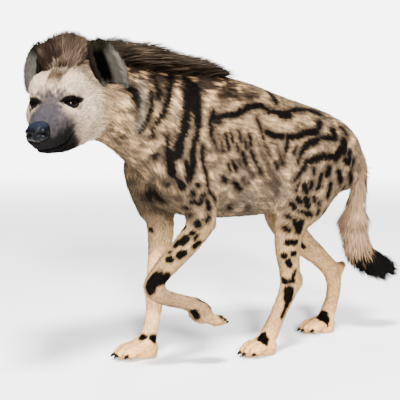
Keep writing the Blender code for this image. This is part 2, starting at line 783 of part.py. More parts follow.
def ridge_spots():
    """A few short locks that carry the mane on along the back."""
    spots = []
    for step in range(RIDGE_STEPS):
        y = RIDGE_START + step * 0.026
        x = (step % 2 - 0.5) * 0.030
        spots.append((x, y, 0.074 - step * 0.006, 0.034, 0.42, (x * 3, 1, -0.20), (x * 50, 0, 0.8)))
    return spots


def crest_spots():
    """The tuft between the ears, in the head's frame."""
    spots = []
    for row in range(CREST_ROWS):
        y = CREST_START + row * CREST_STEP
        for column in range(CREST_COLUMNS):
            x = (column - (CREST_COLUMNS - 1) / 2) * CREST_COLUMN + (row % 2 - 0.5) * 0.012
            length = CREST_LENGTH * (1 - 4.4 * abs(x)) * (0.70 if row == 0 else 1)
            spots.append((x, y, length, CREST_WIDTH, 0.88, (x * 9, 1, 0.25), (x * 12, -1, 0.4)))
    return spots


def tail_locks(draw):
    """Rings of locks down the tail that end in its brush."""
    rows = stations_along(TAIL, 1)
    locks = []
    for index in range(TAIL_BARE, len(rows)):
        centre, width, depth = rows[index]
        along = (rows[min(index + 1, len(rows) - 1)][0] - rows[index - 1][0]).normalized()
        side = Vector((1, 0, 0))
        up = side.cross(along).normalized()
        brush = index >= len(rows) - 3
        for turn in range(TAIL_ROUND):
            angle = 2 * math.pi * (turn + 0.5 * (index % 2) + draw.uniform(-0.2, 0.2)) / TAIL_ROUND
            out = side * math.cos(angle) + up * math.sin(angle)
            jitter = Vector([draw.uniform(-LOCK_JITTER, LOCK_JITTER) for _ in range(3)])
            lie = (along + out * (0.06 if brush else 0.0) + jitter).normalized()
            rise = (along + out * (0.50 if brush else 0.34)).normalized()
            root = centre + out * ((width + depth) / 2 - LOCK_ROOT * 0.6)
            length = (BRUSH_LENGTH if brush else TAIL_HAIR) * draw.uniform(0.88, 1.08)
            locks.append(lock(root, out, rise, lie, length, TAIL_LOCK_WIDTH))
    return locks


def tail():
    flesh = Flesh()
    flesh.limb(TAIL, sides=14)
    return flesh.fused("tail", BODY_VOXEL, 4, TAIL_TRIANGLES)


def claws(name):
    """Blunt claws, one from the front of each toe."""
    made = []
    for x, y, radius in TOES:
        lean = Euler((math.radians(CLAW_LEAN), 0, 0)).to_matrix().to_4x4()
        place = paw_matrix(name) @ Matrix.Translation((x, y - radius - 0.002, 0.0165)) @ lean
        mesh = bmesh.new()
        bmesh.ops.create_cone(
            mesh, cap_ends=True, segments=6, radius1=0.0046, radius2=0.0010, depth=CLAW_LENGTH, matrix=place
        )
        made.append(new_object("claw", mesh))
    return made


def fine_paw(name):
    """A paw and the end of its leg at a finer mesh, with a flat sole where it stands."""
    flesh = Flesh()
    flesh.limb(LEG_OF_PAW[name])
    paw(flesh, name)
    made = flesh.fused(name, PAW_VOXEL, 4, PAW_TRIANGLES)
    trimmed(made, name, 1)
    combine(made, "UNION", claws(name))
    floor = box("floor", Matrix.Translation((0, 0, SOLE_LEVEL - FAR)), (2 * FAR, 2 * FAR, FAR))
    combine(made, "DIFFERENCE", [floor])
    return made


def clear_scene():
    for item in list(bpy.data.objects):
        bpy.data.objects.remove(item)


def main():
    clear_scene()
    flesh = Flesh()
    trunk(flesh)
    legs(flesh)
    skull(flesh)
    for name in PAWS:
        paw(flesh, name)
    on_trunk = (60, lambda p: p.z > 0.41 and p.y > -0.44)
    body = flesh.fused("body", BODY_VOXEL, 9, BODY_TRIANGLES, softer=[on_trunk])
    pieces = parted(body)
    for name in ("head", *PAWS):
        bpy.data.objects.remove(pieces.pop(name))
    draw = random.Random(LOCK_SEED)
    head = fine_head()
    pieces["nose"] = nose()
    combine(head, "DIFFERENCE", [swollen(pieces["nose"], CUT)])
    for side, name in ((1, "ear_left"), (-1, "ear_right")):
        pieces[name] = ear(side, name)
        combine(pieces[name], "DIFFERENCE", [swollen(head, CUT), swollen(pieces["neck"], CUT)])
    for side, name in ((1, "eye_left"), (-1, "eye_right")):
        pieces[name] = eye(side, name)
        combine(head, "UNION", [lids(side)])
        combine(head, "DIFFERENCE", eye_cutters(side))
    combine(head, "DIFFERENCE", [mouth_line(head)])
    ears = [pieces["ear_left"], pieces["ear_right"]]
    combine(head, "UNION", coat_locks(head, crest_spots(), HEAD, draw, ears))
    trimmed(head, "head", 1)
    pieces["head"] = head
    combine(pieces["neck"], "UNION", coat_locks(pieces["neck"], mane_spots(), Matrix(), draw, ears))
    trimmed(pieces["neck"], "neck", 1)
    trimmed(pieces["neck"], "head", -1)
    combine(pieces["torso"], "UNION", coat_locks(pieces["torso"], ridge_spots(), Matrix(), draw))
    trimmed(pieces["torso"], "neck", -1)
    pieces["tail"] = tail()
    combine(pieces["tail"], "UNION", tail_locks(draw))
    for name in ("torso", "thigh_left", "thigh_right"):
        combine(pieces["tail"], "DIFFERENCE", [swollen(pieces[name], CUT)])
    for name in PAWS:
        pieces[name] = fine_paw(name)
    for name, piece in pieces.items():
        piece.name = name
        piece.data.name = name
        look, colour, roughness = FINISH.get(name, FINISH["torso"])
        piece.data.materials.clear()
        piece.data.materials.append(bpy.data.materials.get(look) or material(look, colour, roughness))
    gather(pieces)


def fine_head():
    flesh = Flesh()
    flesh.limb(NECK, sides=24)
    skull(flesh)
    head = flesh.fused("head", HEAD_VOXEL, 12, HEAD_TRIANGLES)
    trimmed(head, "head", 1)
    return head


def gather(pieces):
    """Puts the pieces in one collection, with the middle of their box over the origin."""
    group = bpy.data.collections.new("spotted_hyena")
    bpy.context.scene.collection.children.link(group)
    corners = [v.co for piece in pieces.values() for v in piece.data.vertices]
    middle = [(min(c[axis] for c in corners) + max(c[axis] for c in corners)) / 2 for axis in (0, 1)]
    shift = Matrix.Translation((-middle[0], -middle[1], -SOLE_LEVEL))
    for piece in pieces.values():
        piece.data.transform(shift)
        group.objects.link(piece)
        bpy.context.scene.collection.objects.unlink(piece)


FINISH = {
    "torso": ("cream_coat", (0.56, 0.43, 0.29), 0.85),
    "neck": ("mane_coat", (0.30, 0.23, 0.17), 0.85),
    "head": ("face_coat", (0.62, 0.53, 0.44), 0.80),
    "ear_left": ("ear_skin", (0.20, 0.18, 0.15), 0.80),
    "ear_right": ("ear_skin", (0.20, 0.18, 0.15), 0.80),
    "eye_left": ("eye_glass", (0.03, 0.015, 0.01), 0.08),
    "eye_right": ("eye_glass", (0.03, 0.015, 0.01), 0.08),
    "nose": ("nose_leather", (0.03, 0.035, 0.05), 0.30),
    "tail": ("tail_coat", (0.40, 0.32, 0.22), 0.85),
}

main()
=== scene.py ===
"""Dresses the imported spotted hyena: one skin, a coat of solid tufts, eyes, nose, ears, mane and tail.

Metres, +Z up. The hyena faces -Y and its left side is at +X. Shapes are laid out in the design's own
coordinates and moved by SHIFT into the row frame.
"""

import math

import bmesh
import bpy
import numpy as np
from bpy.props import FloatProperty, FloatVectorProperty, IntProperty, PointerProperty
from mathutils import Euler, Matrix, Vector
from mathutils.bvhtree import BVHTree


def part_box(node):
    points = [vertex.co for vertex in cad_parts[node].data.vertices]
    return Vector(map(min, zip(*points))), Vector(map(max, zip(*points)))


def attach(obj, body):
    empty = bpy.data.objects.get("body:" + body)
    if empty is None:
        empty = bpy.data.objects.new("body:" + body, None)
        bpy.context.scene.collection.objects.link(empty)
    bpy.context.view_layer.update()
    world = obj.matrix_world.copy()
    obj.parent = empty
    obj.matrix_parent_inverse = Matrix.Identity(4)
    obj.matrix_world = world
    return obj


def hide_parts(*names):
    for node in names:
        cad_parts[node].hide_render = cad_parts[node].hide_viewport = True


bl_info = {
    "name": "Spotted hyena",
    "version": (1, 0, 0),
    "blender": (4, 5, 0),
    "location": "View3D > Sidebar > Hyena",
    "description": "Builds the skin, coat, eyes, nose, ears, mane and tail of a life-size spotted hyena",
    "category": "Object",
}

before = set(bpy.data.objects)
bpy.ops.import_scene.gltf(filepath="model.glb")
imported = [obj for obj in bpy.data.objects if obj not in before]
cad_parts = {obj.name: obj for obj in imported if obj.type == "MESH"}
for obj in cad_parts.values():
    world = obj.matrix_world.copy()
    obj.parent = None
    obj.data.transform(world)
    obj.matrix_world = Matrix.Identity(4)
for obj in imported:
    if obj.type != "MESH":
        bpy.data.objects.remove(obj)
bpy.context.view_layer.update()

# The head's own frame: -Y along the muzzle
HEAD_PLACE = Vector((0.036, -0.561, 0.716))
HEAD_TURN = (13, -3, 44)
HEAD_SPIN = Euler([math.radians(t) for t in HEAD_TURN], "YXZ").to_matrix().to_4x4()
HEAD = Matrix.Translation(HEAD_PLACE) @ HEAD_SPIN
EYE_RADIUS = 0.0235
EYE_PLACE = (0.041, -0.121, 0.037)
EYE_TURN = 33
EAR_ROOT = (0.099, 0.034, 0.034)
EAR_TURN = (-4, 0, 42)
EAR_CUP = 0.034
EAR_LEAN = 0.030
EAR_SIZE = (0.080, 0.131)


def eye_centre(side):
    return Vector((side * EYE_PLACE[0], EYE_PLACE[1], EYE_PLACE[2]))


def middle_of(node):
    low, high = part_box(node)
    return (low + high) / 2


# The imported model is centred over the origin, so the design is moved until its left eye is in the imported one
SHIFT = middle_of("eye_left") - HEAD @ eye_centre(1)

# Body forms, as in the solids. Trunk: y, top, bottom, half width
TRUNK = (
    (-0.362, 0.700, 0.535, 0.080),
    (-0.330, 0.770, 0.480, 0.106),
    (-0.280, 0.812, 0.430, 0.125),
    (-0.190, 0.824, 0.402, 0.136),
    (-0.070, 0.808, 0.392, 0.144),
    (0.050, 0.774, 0.394, 0.145),
    (0.150, 0.748, 0.416, 0.136),
    (0.240, 0.722, 0.444, 0.124),
    (0.305, 0.692, 0.472, 0.106),
    (0.345, 0.662, 0.505, 0.082),
)
# Limbs: x, y, z, half width, half depth
NECK = (
    (0.052, -0.565, 0.752, 0.082, 0.092),
    (0.034, -0.500, 0.741, 0.092, 0.112),
    (0.012, -0.410, 0.725, 0.103, 0.128),
    (0.000, -0.300, 0.674, 0.114, 0.156),
)
TAIL = (
    (0.000, 0.340, 0.622, 0.026, 0.030),
    (0.000, 0.396, 0.585, 0.022, 0.024),
    (0.000, 0.416, 0.520, 0.017, 0.018),
    (0.000, 0.409, 0.445, 0.015, 0.016),
    (0.001, 0.399, 0.370, 0.014, 0.014),
    (0.003, 0.410, 0.300, 0.013, 0.013),
    (0.006, 0.444, 0.254, 0.011, 0.011),
    (0.008, 0.480, 0.230, 0.008, 0.008),
)
FORE_LEFT = (
    (0.098, -0.285, 0.560, 0.044, 0.074),
    (0.116, -0.250, 0.475, 0.048, 0.060),
    (0.124, -0.222, 0.425, 0.043, 0.050),
    (0.125, -0.262, 0.368, 0.040, 0.042),
    (0.121, -0.315, 0.315, 0.036, 0.037),
    (0.114, -0.360, 0.268, 0.031, 0.032),
    (0.110, -0.374, 0.236, 0.030, 0.031),
    (0.111, -0.340, 0.210, 0.028, 0.027),
    (0.114, -0.285, 0.192, 0.027, 0.025),
    (0.117, -0.245, 0.180, 0.028, 0.024),
)
FORE_RIGHT = (
    (-0.098, -0.305, 0.560, 0.044, 0.072),
    (-0.112, -0.270, 0.465, 0.046, 0.066),
    (-0.113, -0.232, 0.405, 0.044, 0.054),
    (-0.105, -0.232, 0.330, 0.040, 0.043),
    (-0.094, -0.250, 0.245, 0.032, 0.034),
    (-0.085, -0.262, 0.180, 0.030, 0.033),
    (-0.080, -0.270, 0.120, 0.026, 0.028),
    (-0.077, -0.288, 0.062, 0.028, 0.028),
)
HIND_LEFT = (
    (0.080, 0.220, 0.540, 0.060, 0.105),
    (0.096, 0.150, 0.460, 0.056, 0.085),
    (0.102, 0.088, 0.390, 0.048, 0.060),
    (0.098, 0.075, 0.320, 0.039, 0.047),
    (0.090, 0.087, 0.250, 0.031, 0.038),
    (0.083, 0.092, 0.195, 0.028, 0.035),
    (0.077, 0.062, 0.125, 0.026, 0.029),
    (0.072, 0.030, 0.062, 0.029, 0.029),
)
HIND_RIGHT = (
    (-0.080, 0.225, 0.540, 0.060, 0.105),
    (-0.096, 0.200, 0.455, 0.056, 0.088),
    (-0.100, 0.200, 0.375, 0.047, 0.066),
    (-0.096, 0.260, 0.303, 0.038, 0.047),
    (-0.088, 0.335, 0.240, 0.030, 0.036),
    (-0.084, 0.380, 0.190, 0.028, 0.034),
    (-0.084, 0.386, 0.125, 0.026, 0.028),
    (-0.087, 0.366, 0.062, 0.028, 0.028),
)
# Paws: where the heel stands, heading and pitch in degrees, scale, and the leg each belongs to
PAWS = {
    "forepaw_left": ((0.117, -0.203, 0.176), 0, 148, 1.0, FORE_LEFT),
    "forepaw_right": ((-0.078, -0.318, 0.0), -4, 0, 1.08, FORE_RIGHT),
    "hindpaw_left": ((0.070, 0.000, 0.0), 6, 0, 1.0, HIND_LEFT),
    "hindpaw_right": ((-0.088, 0.335, 0.0), -4, 0, 1.0, HIND_RIGHT),
}
TOES = ((-0.030, -0.030, 0.0130), (-0.011, -0.050, 0.0150), (0.011, -0.050, 0.0150), (0.030, -0.030, 0.0130))
MUZZLE = (
    (0, -0.070, 0.012, 0.068, 0.060),
    (0, -0.120, 0.006, 0.059, 0.052),
    (0, -0.165, -0.002, 0.055, 0.046),
    (0, -0.200, -0.010, 0.049, 0.040),
    (0, -0.220, -0.015, 0.043, 0.033),
)
JAW = (
    (0, -0.020, -0.058, 0.058, 0.036),
    (0, -0.090, -0.056, 0.052, 0.034),
    (0, -0.155, -0.050, 0.042, 0.030),
    (0, -0.205, -0.044, 0.033, 0.025),
    (0, -0.222, -0.042, 0.028, 0.021),
)
SKULL_LINE = (
    (0, -0.265, -0.01, 0.02, 0.02),
    (0, -0.15, -0.005, 0.05, 0.05),
    (0, -0.03, 0.02, 0.09, 0.09),
    (0, 0.06, 0.03, 0.10, 0.10),
)
# The line of the closed mouth: how far out along the head, and how high
MOUTH = ((0.132, -0.032), (0.150, -0.043), (0.174, -0.051), (0.196, -0.051))
FLESH_NODES = (
    "torso", "neck", "head", "thigh_left", "thigh_right", "shank_left", "shank_right",
    "hind_pastern_left", "hind_pastern_right", "hindpaw_left", "hindpaw_right",
    "foreleg_left", "foreleg_right", "fore_pastern_left", "fore_pastern_right",
    "forepaw_left", "forepaw_right", "tail",
)
SIDES = {"left": 1, "right": -1}
# The name of the colours that each point carries
MARKINGS = "markings"
RNG = np.random.default_rng(5)
# What one operator keeps for the next
STORE = {}
BALL_SIDES = 36
BALL_ROWS = 20


# Shader expressions


class Wire:
    """A socket of a shader node, so that maths on it reads as an expression."""

    def __init__(self, look, socket):
        self.look = look
        self.socket = socket

    def __add__(self, other):
        return self.look.maths("ADD", self, other)

    __radd__ = __add__

    def __mul__(self, other):
        return self.look.maths("MULTIPLY", self, other)

    __rmul__ = __mul__


class Look:
    """A material and the nodes that make it."""

    def __init__(self, name, roughness=0.6, **fixed):
        self.material = bpy.data.materials.new(name)
        self.material.use_nodes = True
        self.tree = self.material.node_tree
        self.shader = self.tree.nodes["Principled BSDF"]
        self.shader.inputs["Roughness"].default_value = roughness
        for key, value in fixed.items():
            self.shader.inputs[key.replace("_", " ")].default_value = value

    def node(self, kind, settings=None, out=0, **sockets):
        """A node of that type. Its settings come first, then the values or links of its sockets."""
        made = self.tree.nodes.new("ShaderNode" + kind)
        for key, value in (settings or {}).items():
            setattr(made, key, value)
        for key, value in sockets.items():
            place = int(key[1:]) if key[0] == "s" and key[1:].isdigit() else key.replace("_", " ")
            self.feed(made.inputs[place], value)
        return Wire(self, made.outputs[out])

    def feed(self, socket, value):
        if isinstance(value, Wire):
            self.tree.links.new(value.socket, socket)
        elif isinstance(value, tuple) and len(value) == 3 and socket.type == "RGBA":
            socket.default_value = (*value, 1)
        else:
            socket.default_value = value

    def maths(self, operation, a, b):
        return self.node("Math", {"operation": operation}, s0=a, s1=b)

    def mix(self, share, a, b, blend="MIX"):
        """One colour over another by share."""
        settings = {"data_type": "RGBA", "blend_type": blend}
        return self.node("Mix", settings, out=2, s0=share, s6=a, s7=b)

    def place(self, scale=(1, 1, 1)):
        where = self.node("TexCoord", out="Object")
        return self.node("VectorMath", {"operation": "MULTIPLY"}, s0=where, s1=scale)

    def noise(self, scale, detail=3.0, stretch=(1, 1, 1)):
        return self.node("TexNoise", Vector=self.place(stretch), Scale=scale, Detail=detail)

    def bump(self, height, strength, distance):
        self.set("Normal", self.node("Bump", Strength=strength, Distance=distance, Height=height))

    def set(self, name, value):
        self.feed(self.shader.inputs[name], value)

    def marked(self, shade=None):
        """Takes the colour from the points of the piece, darker or paler by the shade."""
        colour = self.node("Attribute", {"attribute_name": MARKINGS}, out="Color")
        if shade is not None:
            grey = self.node("CombineColor", s0=shade, s1=shade, s2=shade)
            colour = self.mix(1.0, colour, grey, "MULTIPLY")
        self.set("Base Color", colour)
        return self


# How light looks in the picture: 0 to 255 there against linear light
TONE = (
    (1, 0.001), (8, 0.0045), (16, 0.0082), (26, 0.0149), (39, 0.0271), (58, 0.0495), (82, 0.0902),
    (112, 0.164), (145, 0.300), (174, 0.546), (196, 0.995), (214, 1.81), (230, 3.30), (240, 6.02),
    (250, 10.97),
)
LIGHT = 6.9
# How far colours go toward grey, and the palest that a surface may be
GREYING = 0.06
PALEST = 0.84


def seen(colour):
    """The surface colour that looks like this sRGB colour in the studio's light."""
    codes, light = zip(*TONE)
    plain = [math.exp(np.interp(c, codes, np.log(light))) / LIGHT for c in colour]
    grey = 0.3 * plain[0] + 0.6 * plain[1] + 0.1 * plain[2]
    return tuple(min(c + (grey - c) * GREYING, PALEST) for c in plain)


# Forms


def smooth_between(values, step, share):
    """Catmull-Rom value between values[step] and values[step + 1]."""
    last = len(values) - 1
    a, b = values[max(step - 1, 0)], values[step]
    c, d = values[min(step + 1, last)], values[min(step + 2, last)]
    return 0.5 * (
        2 * b
        + (c - a) * share
        + (2 * a - 5 * b + 4 * c - d) * share**2
        + (3 * b - a - 3 * c + d) * share**3
    )


def stations_along(stations, between):
    """The stations with smoothly placed ones between them, as rows of five numbers."""
    rows = [Vector(s) for s in stations]
    found = []
    for step in range(len(rows) - 1):
        for part in range(between):
            found.append(smooth_between(rows, step, part / between))
    found.append(rows[-1])
    return found


class Flesh:
    """Closed forms that overlap, gathered in one mesh before they are fused."""

    def __init__(self):
        self.mesh = bmesh.new()

    def lump(self, centre, radii, turn=(0, 0, 0), place=Matrix()):
        """An ellipsoid. turn is in degrees about its own X, Y and Z."""
        spin = Euler([math.radians(t) for t in turn]).to_matrix().to_4x4()
        matrix = place @ Matrix.Translation(centre) @ spin @ Matrix.Diagonal((*radii, 1))
        loops = []
        for row in range(1, BALL_ROWS):
            low = math.pi * row / BALL_ROWS
            ring = []
            for corner in range(BALL_SIDES):
                turn_to = 2 * math.pi * corner / BALL_SIDES
                point = (math.sin(low) * math.cos(turn_to), math.sin(low) * math.sin(turn_to), math.cos(low))
                ring.append(self.mesh.verts.new(matrix @ Vector(point)))
            loops.append(ring)
        self.skin_loops(loops)

    def limb(self, stations, place=Matrix(), sides=36, between=8, dome=0.8):
        """A tapered tube with domed ends. A station is (x, y, z, half width, half depth)."""
        rows = [(place @ Vector(r[:3]), r[3], r[4]) for r in stations_along(stations, between)]
        lateral = place.to_3x3() @ Vector((1, 0, 0))
        rings = []
        for index, (centre, width, depth) in enumerate(rows):
            ahead = rows[min(index + 1, len(rows) - 1)][0] - rows[max(index - 1, 0)][0]
            along = ahead.normalized()
            side = (lateral - lateral.dot(along) * along).normalized()
            rings.append((centre, along, side, side.cross(along), width, depth))
        caps = [math.radians(angle) for angle in (80, 60, 40, 20)]
        first = [self.capped(rings[0], -math.sin(a) * dome, math.cos(a)) for a in caps]
        last = [self.capped(rings[-1], math.sin(a) * dome, math.cos(a)) for a in reversed(caps)]
        loops = []
        for centre, _, side, up, width, depth in first + rings + last:
            loop = []
            for corner in range(sides):
                angle = 2 * math.pi * corner / sides
                point = centre + side * width * math.cos(angle) + up * depth * math.sin(angle)
                loop.append(self.mesh.verts.new(point))
            loops.append(loop)
        self.skin_loops(loops)

    def skin_loops(self, loops):
        """Faces between rings of points, closed at both ends."""
        sides = len(loops[0])
        for near, far in zip(loops, loops[1:]):
            for corner in range(sides):
                after = (corner + 1) % sides
                self.mesh.faces.new((near[corner], far[corner], far[after], near[after]))
        self.mesh.faces.new(loops[0])
        self.mesh.faces.new(list(reversed(loops[-1])))

    @staticmethod
    def capped(ring, push, shrink):
        centre, along, side, up, width, depth = ring
        moved = centre + along * push * (width + depth) / 2
        return moved, along, side, up, width * shrink, depth * shrink

    def loose(self, name):
        """The forms as one object, as they are."""
        bmesh.ops.recalc_face_normals(self.mesh, faces=self.mesh.faces)
        return in_scene(name, made_from(self.mesh, name))

    def fused(self, name, voxel):
        """The forms as one closed body of even quads."""
        body = self.loose(name)
        remesh = body.modifiers.new("fuse", "REMESH")
        remesh.mode = "VOXEL"
        remesh.voxel_size = voxel
        apply_modifiers(body)
        return body


def in_scene(name, data):
    made = bpy.data.objects.new(name, data)
    bpy.context.scene.collection.objects.link(made)
    return made


def rounded(data):
    """The mesh with soft shading over all its faces."""
    data.polygons.foreach_set("use_smooth", np.ones(len(data.polygons), bool))
    return data


def made_from(mesh, name):
    """The mesh that was being built, as data for an object."""
    data = bpy.data.meshes.new(name)
    mesh.to_mesh(data)
    mesh.free()
    return data


def as_shell(body, thickness, offset):
    """Gives a sheet its thickness: half to each side of it at offset 0, all below it at -1."""
    shell = body.modifiers.new("shell", "SOLIDIFY")
    shell.thickness = thickness
    shell.offset = offset
    apply_modifiers(body)


def apply_modifiers(body):
    graph = bpy.context.evaluated_depsgraph_get()
    data = bpy.data.meshes.new_from_object(body.evaluated_get(graph))
    body.modifiers.clear()
    old = body.data
    body.data = data
    bpy.data.meshes.remove(old)


def read(items, name, width, kind=np.float32):
    """One property of all those items, as rows."""
    flat = np.empty(len(items) * width, kind)
    items.foreach_get(name, flat)
    return flat.reshape(-1, width)


def points_of(data):
    return read(data.vertices, "co", 3).astype(float)


def normals_of(data):
    return read(data.vertices, "normal", 3).astype(float)


def put_points(data, points):
    data.vertices.foreach_set("co", np.ascontiguousarray(points, np.float32).ravel())
    data.update()


def edges_of(data):
    return read(data.edges, "vertices", 2, np.int32)


def relaxed(values, edges, rounds, weight):
    """Each value moved half way to its neighbours' mean, once a round, times its weight."""
    count = len(values)
    a = np.concatenate([edges[:, 0], edges[:, 1]])
    b = np.concatenate([edges[:, 1], edges[:, 0]])
    degree = np.maximum(np.bincount(a, minlength=count), 1)
    values = values.copy()
    for _ in range(rounds):
        for axis in range(values.shape[1]):
            mean = np.bincount(a, values[b, axis], count) / degree
            values[:, axis] += 0.5 * weight * (mean - values[:, axis])
    return values


def unit(vectors):
    return vectors / np.maximum(np.linalg.norm(vectors, axis=-1, keepdims=True), 1e-9)


def blend(a, b, share):
    return a * (1 - share) + b * share


def flattened(lie, up):
    """The lie turned to run along the surface, as unit vectors."""
    return unit(lie - (lie * up).sum(1)[:, None] * up)


def ease(value, low, high):
    """0 below low, 1 above high, smooth between."""
    share = np.clip((value - low) / (high - low), 0, 1)
    return share * share * (3 - 2 * share)


def ripple(points, size, seed):
    """Smooth noise of about that wavelength, from -1 to 1."""
    draw = np.random.default_rng(seed)
    total = np.zeros(len(points))
    for _ in range(7):
        way = unit(draw.normal(size=3)) * 2 * math.pi / size * draw.uniform(0.6, 1.5)
        bend = unit(draw.normal(size=3)) * 2 * math.pi / size * draw.uniform(0.3, 0.7)
        total += np.sin(points @ way + draw.uniform(0, 6.28) + 1.3 * np.sin(points @ bend))
    return total / 7 * 1.8


def moved_by(matrix, points):
    rows = np.array(matrix)
    return points @ rows[:3, :3].T + rows[:3, 3]


def in_head(points):
    """The points in the head's own frame."""
    return moved_by(HEAD.inverted(), points)


def out_of_head(vectors):
    return vectors @ np.array(HEAD)[:3, :3].T


def paw_matrix(name):
    place, heading, pitch, scale, _ = PAWS[name]
    turn = Euler((math.radians(pitch), 0, math.radians(heading)), "XYZ").to_matrix().to_4x4()
    return Matrix.Translation(place) @ turn @ Matrix.Scale(scale, 4)


# Bones: the line that each part of the coat follows


def bone(stations, place=Matrix(), between=4):
    rows = stations_along(stations, between)
    points = np.array([place @ Vector(r[:3]) for r in rows])
    radii = np.array([(r[3] + r[4]) / 2 for r in rows])
    return points, radii


def leg_bone(name):
    points, radii = bone(PAWS[name][4])
    place = paw_matrix(name)
    toes = [place @ Vector(p) for p in ((0, -0.005, 0.026), (0, -0.055, 0.018))]
    return np.vstack([points, np.array(toes)]), np.append(radii, [0.034, 0.030])


def all_bones():
    spine = [(0, y, (top + low) / 2, width, (top - low) / 2) for y, top, low, width in TRUNK]
    bones = {"trunk": bone(spine), "neck": bone(NECK), "head": bone(SKULL_LINE, HEAD), "tail": bone(TAIL)}
    for name in PAWS:
        bones[name] = leg_bone(name)
    return bones


BONES = all_bones()
REGIONS = list(BONES)


def along_bone(points, name):
    """For each point: distance over the bone's radius, the bone's way there, how far along, and its foot."""
    line, radii = BONES[name]
    best = np.full(len(points), 1e9)
    way = np.zeros((len(points), 3))
    travel = np.zeros(len(points))
    foot = np.zeros((len(points), 3))
    start = 0.0
    for a, b, ra, rb in zip(line, line[1:], radii, radii[1:]):
        step = b - a
        length = np.linalg.norm(step)
        share = np.clip(((points - a) @ step) / length**2, 0, 1)
        near = a + share[:, None] * step
        ratio = np.linalg.norm(points - near, axis=1) / (ra + (rb - ra) * share)
        closer = ratio < best
        best[closer] = ratio[closer]
        way[closer] = step / length
        travel[closer] = (start + share * length)[closer]
        foot[closer] = near[closer]
        start += length
    return best, way, travel, foot


# How soon a bone's hold on the coat falls off with distance from it
BONE_HOLD = 3.0
TRUNK_HOLD = 3.0 * 1.6


class Field:
    """What the coat does at each of some points: its region, lie and place along the bones."""

    def __init__(self, points):
        self.points = points
        self.travel = {}
        self.foot = {}
        self.ways = {}
        weights = []
        ways = []
        for name in REGIONS:
            ratio, way, travel, foot = along_bone(points, name)
            self.travel[name] = travel
            self.foot[name] = foot
            self.ways[name] = way
            hold = TRUNK_HOLD if name == "trunk" else BONE_HOLD
            weights.append(np.exp(-hold * np.minimum(ratio, 4) ** 2))
            ways.append(way)
        weights = np.array(weights)
        total = weights.sum(0) + 1e-12
        self.share = {name: weights[i] / total for i, name in enumerate(REGIONS)}
        self.region = np.argmax(weights, axis=0)
        way = sum(ways[i] * (weights[i] / total)[:, None] for i in range(len(REGIONS)))
        self.way = unit(way)
        self.head = in_head(points)
        self.legs = sum(self.share[name] for name in PAWS)


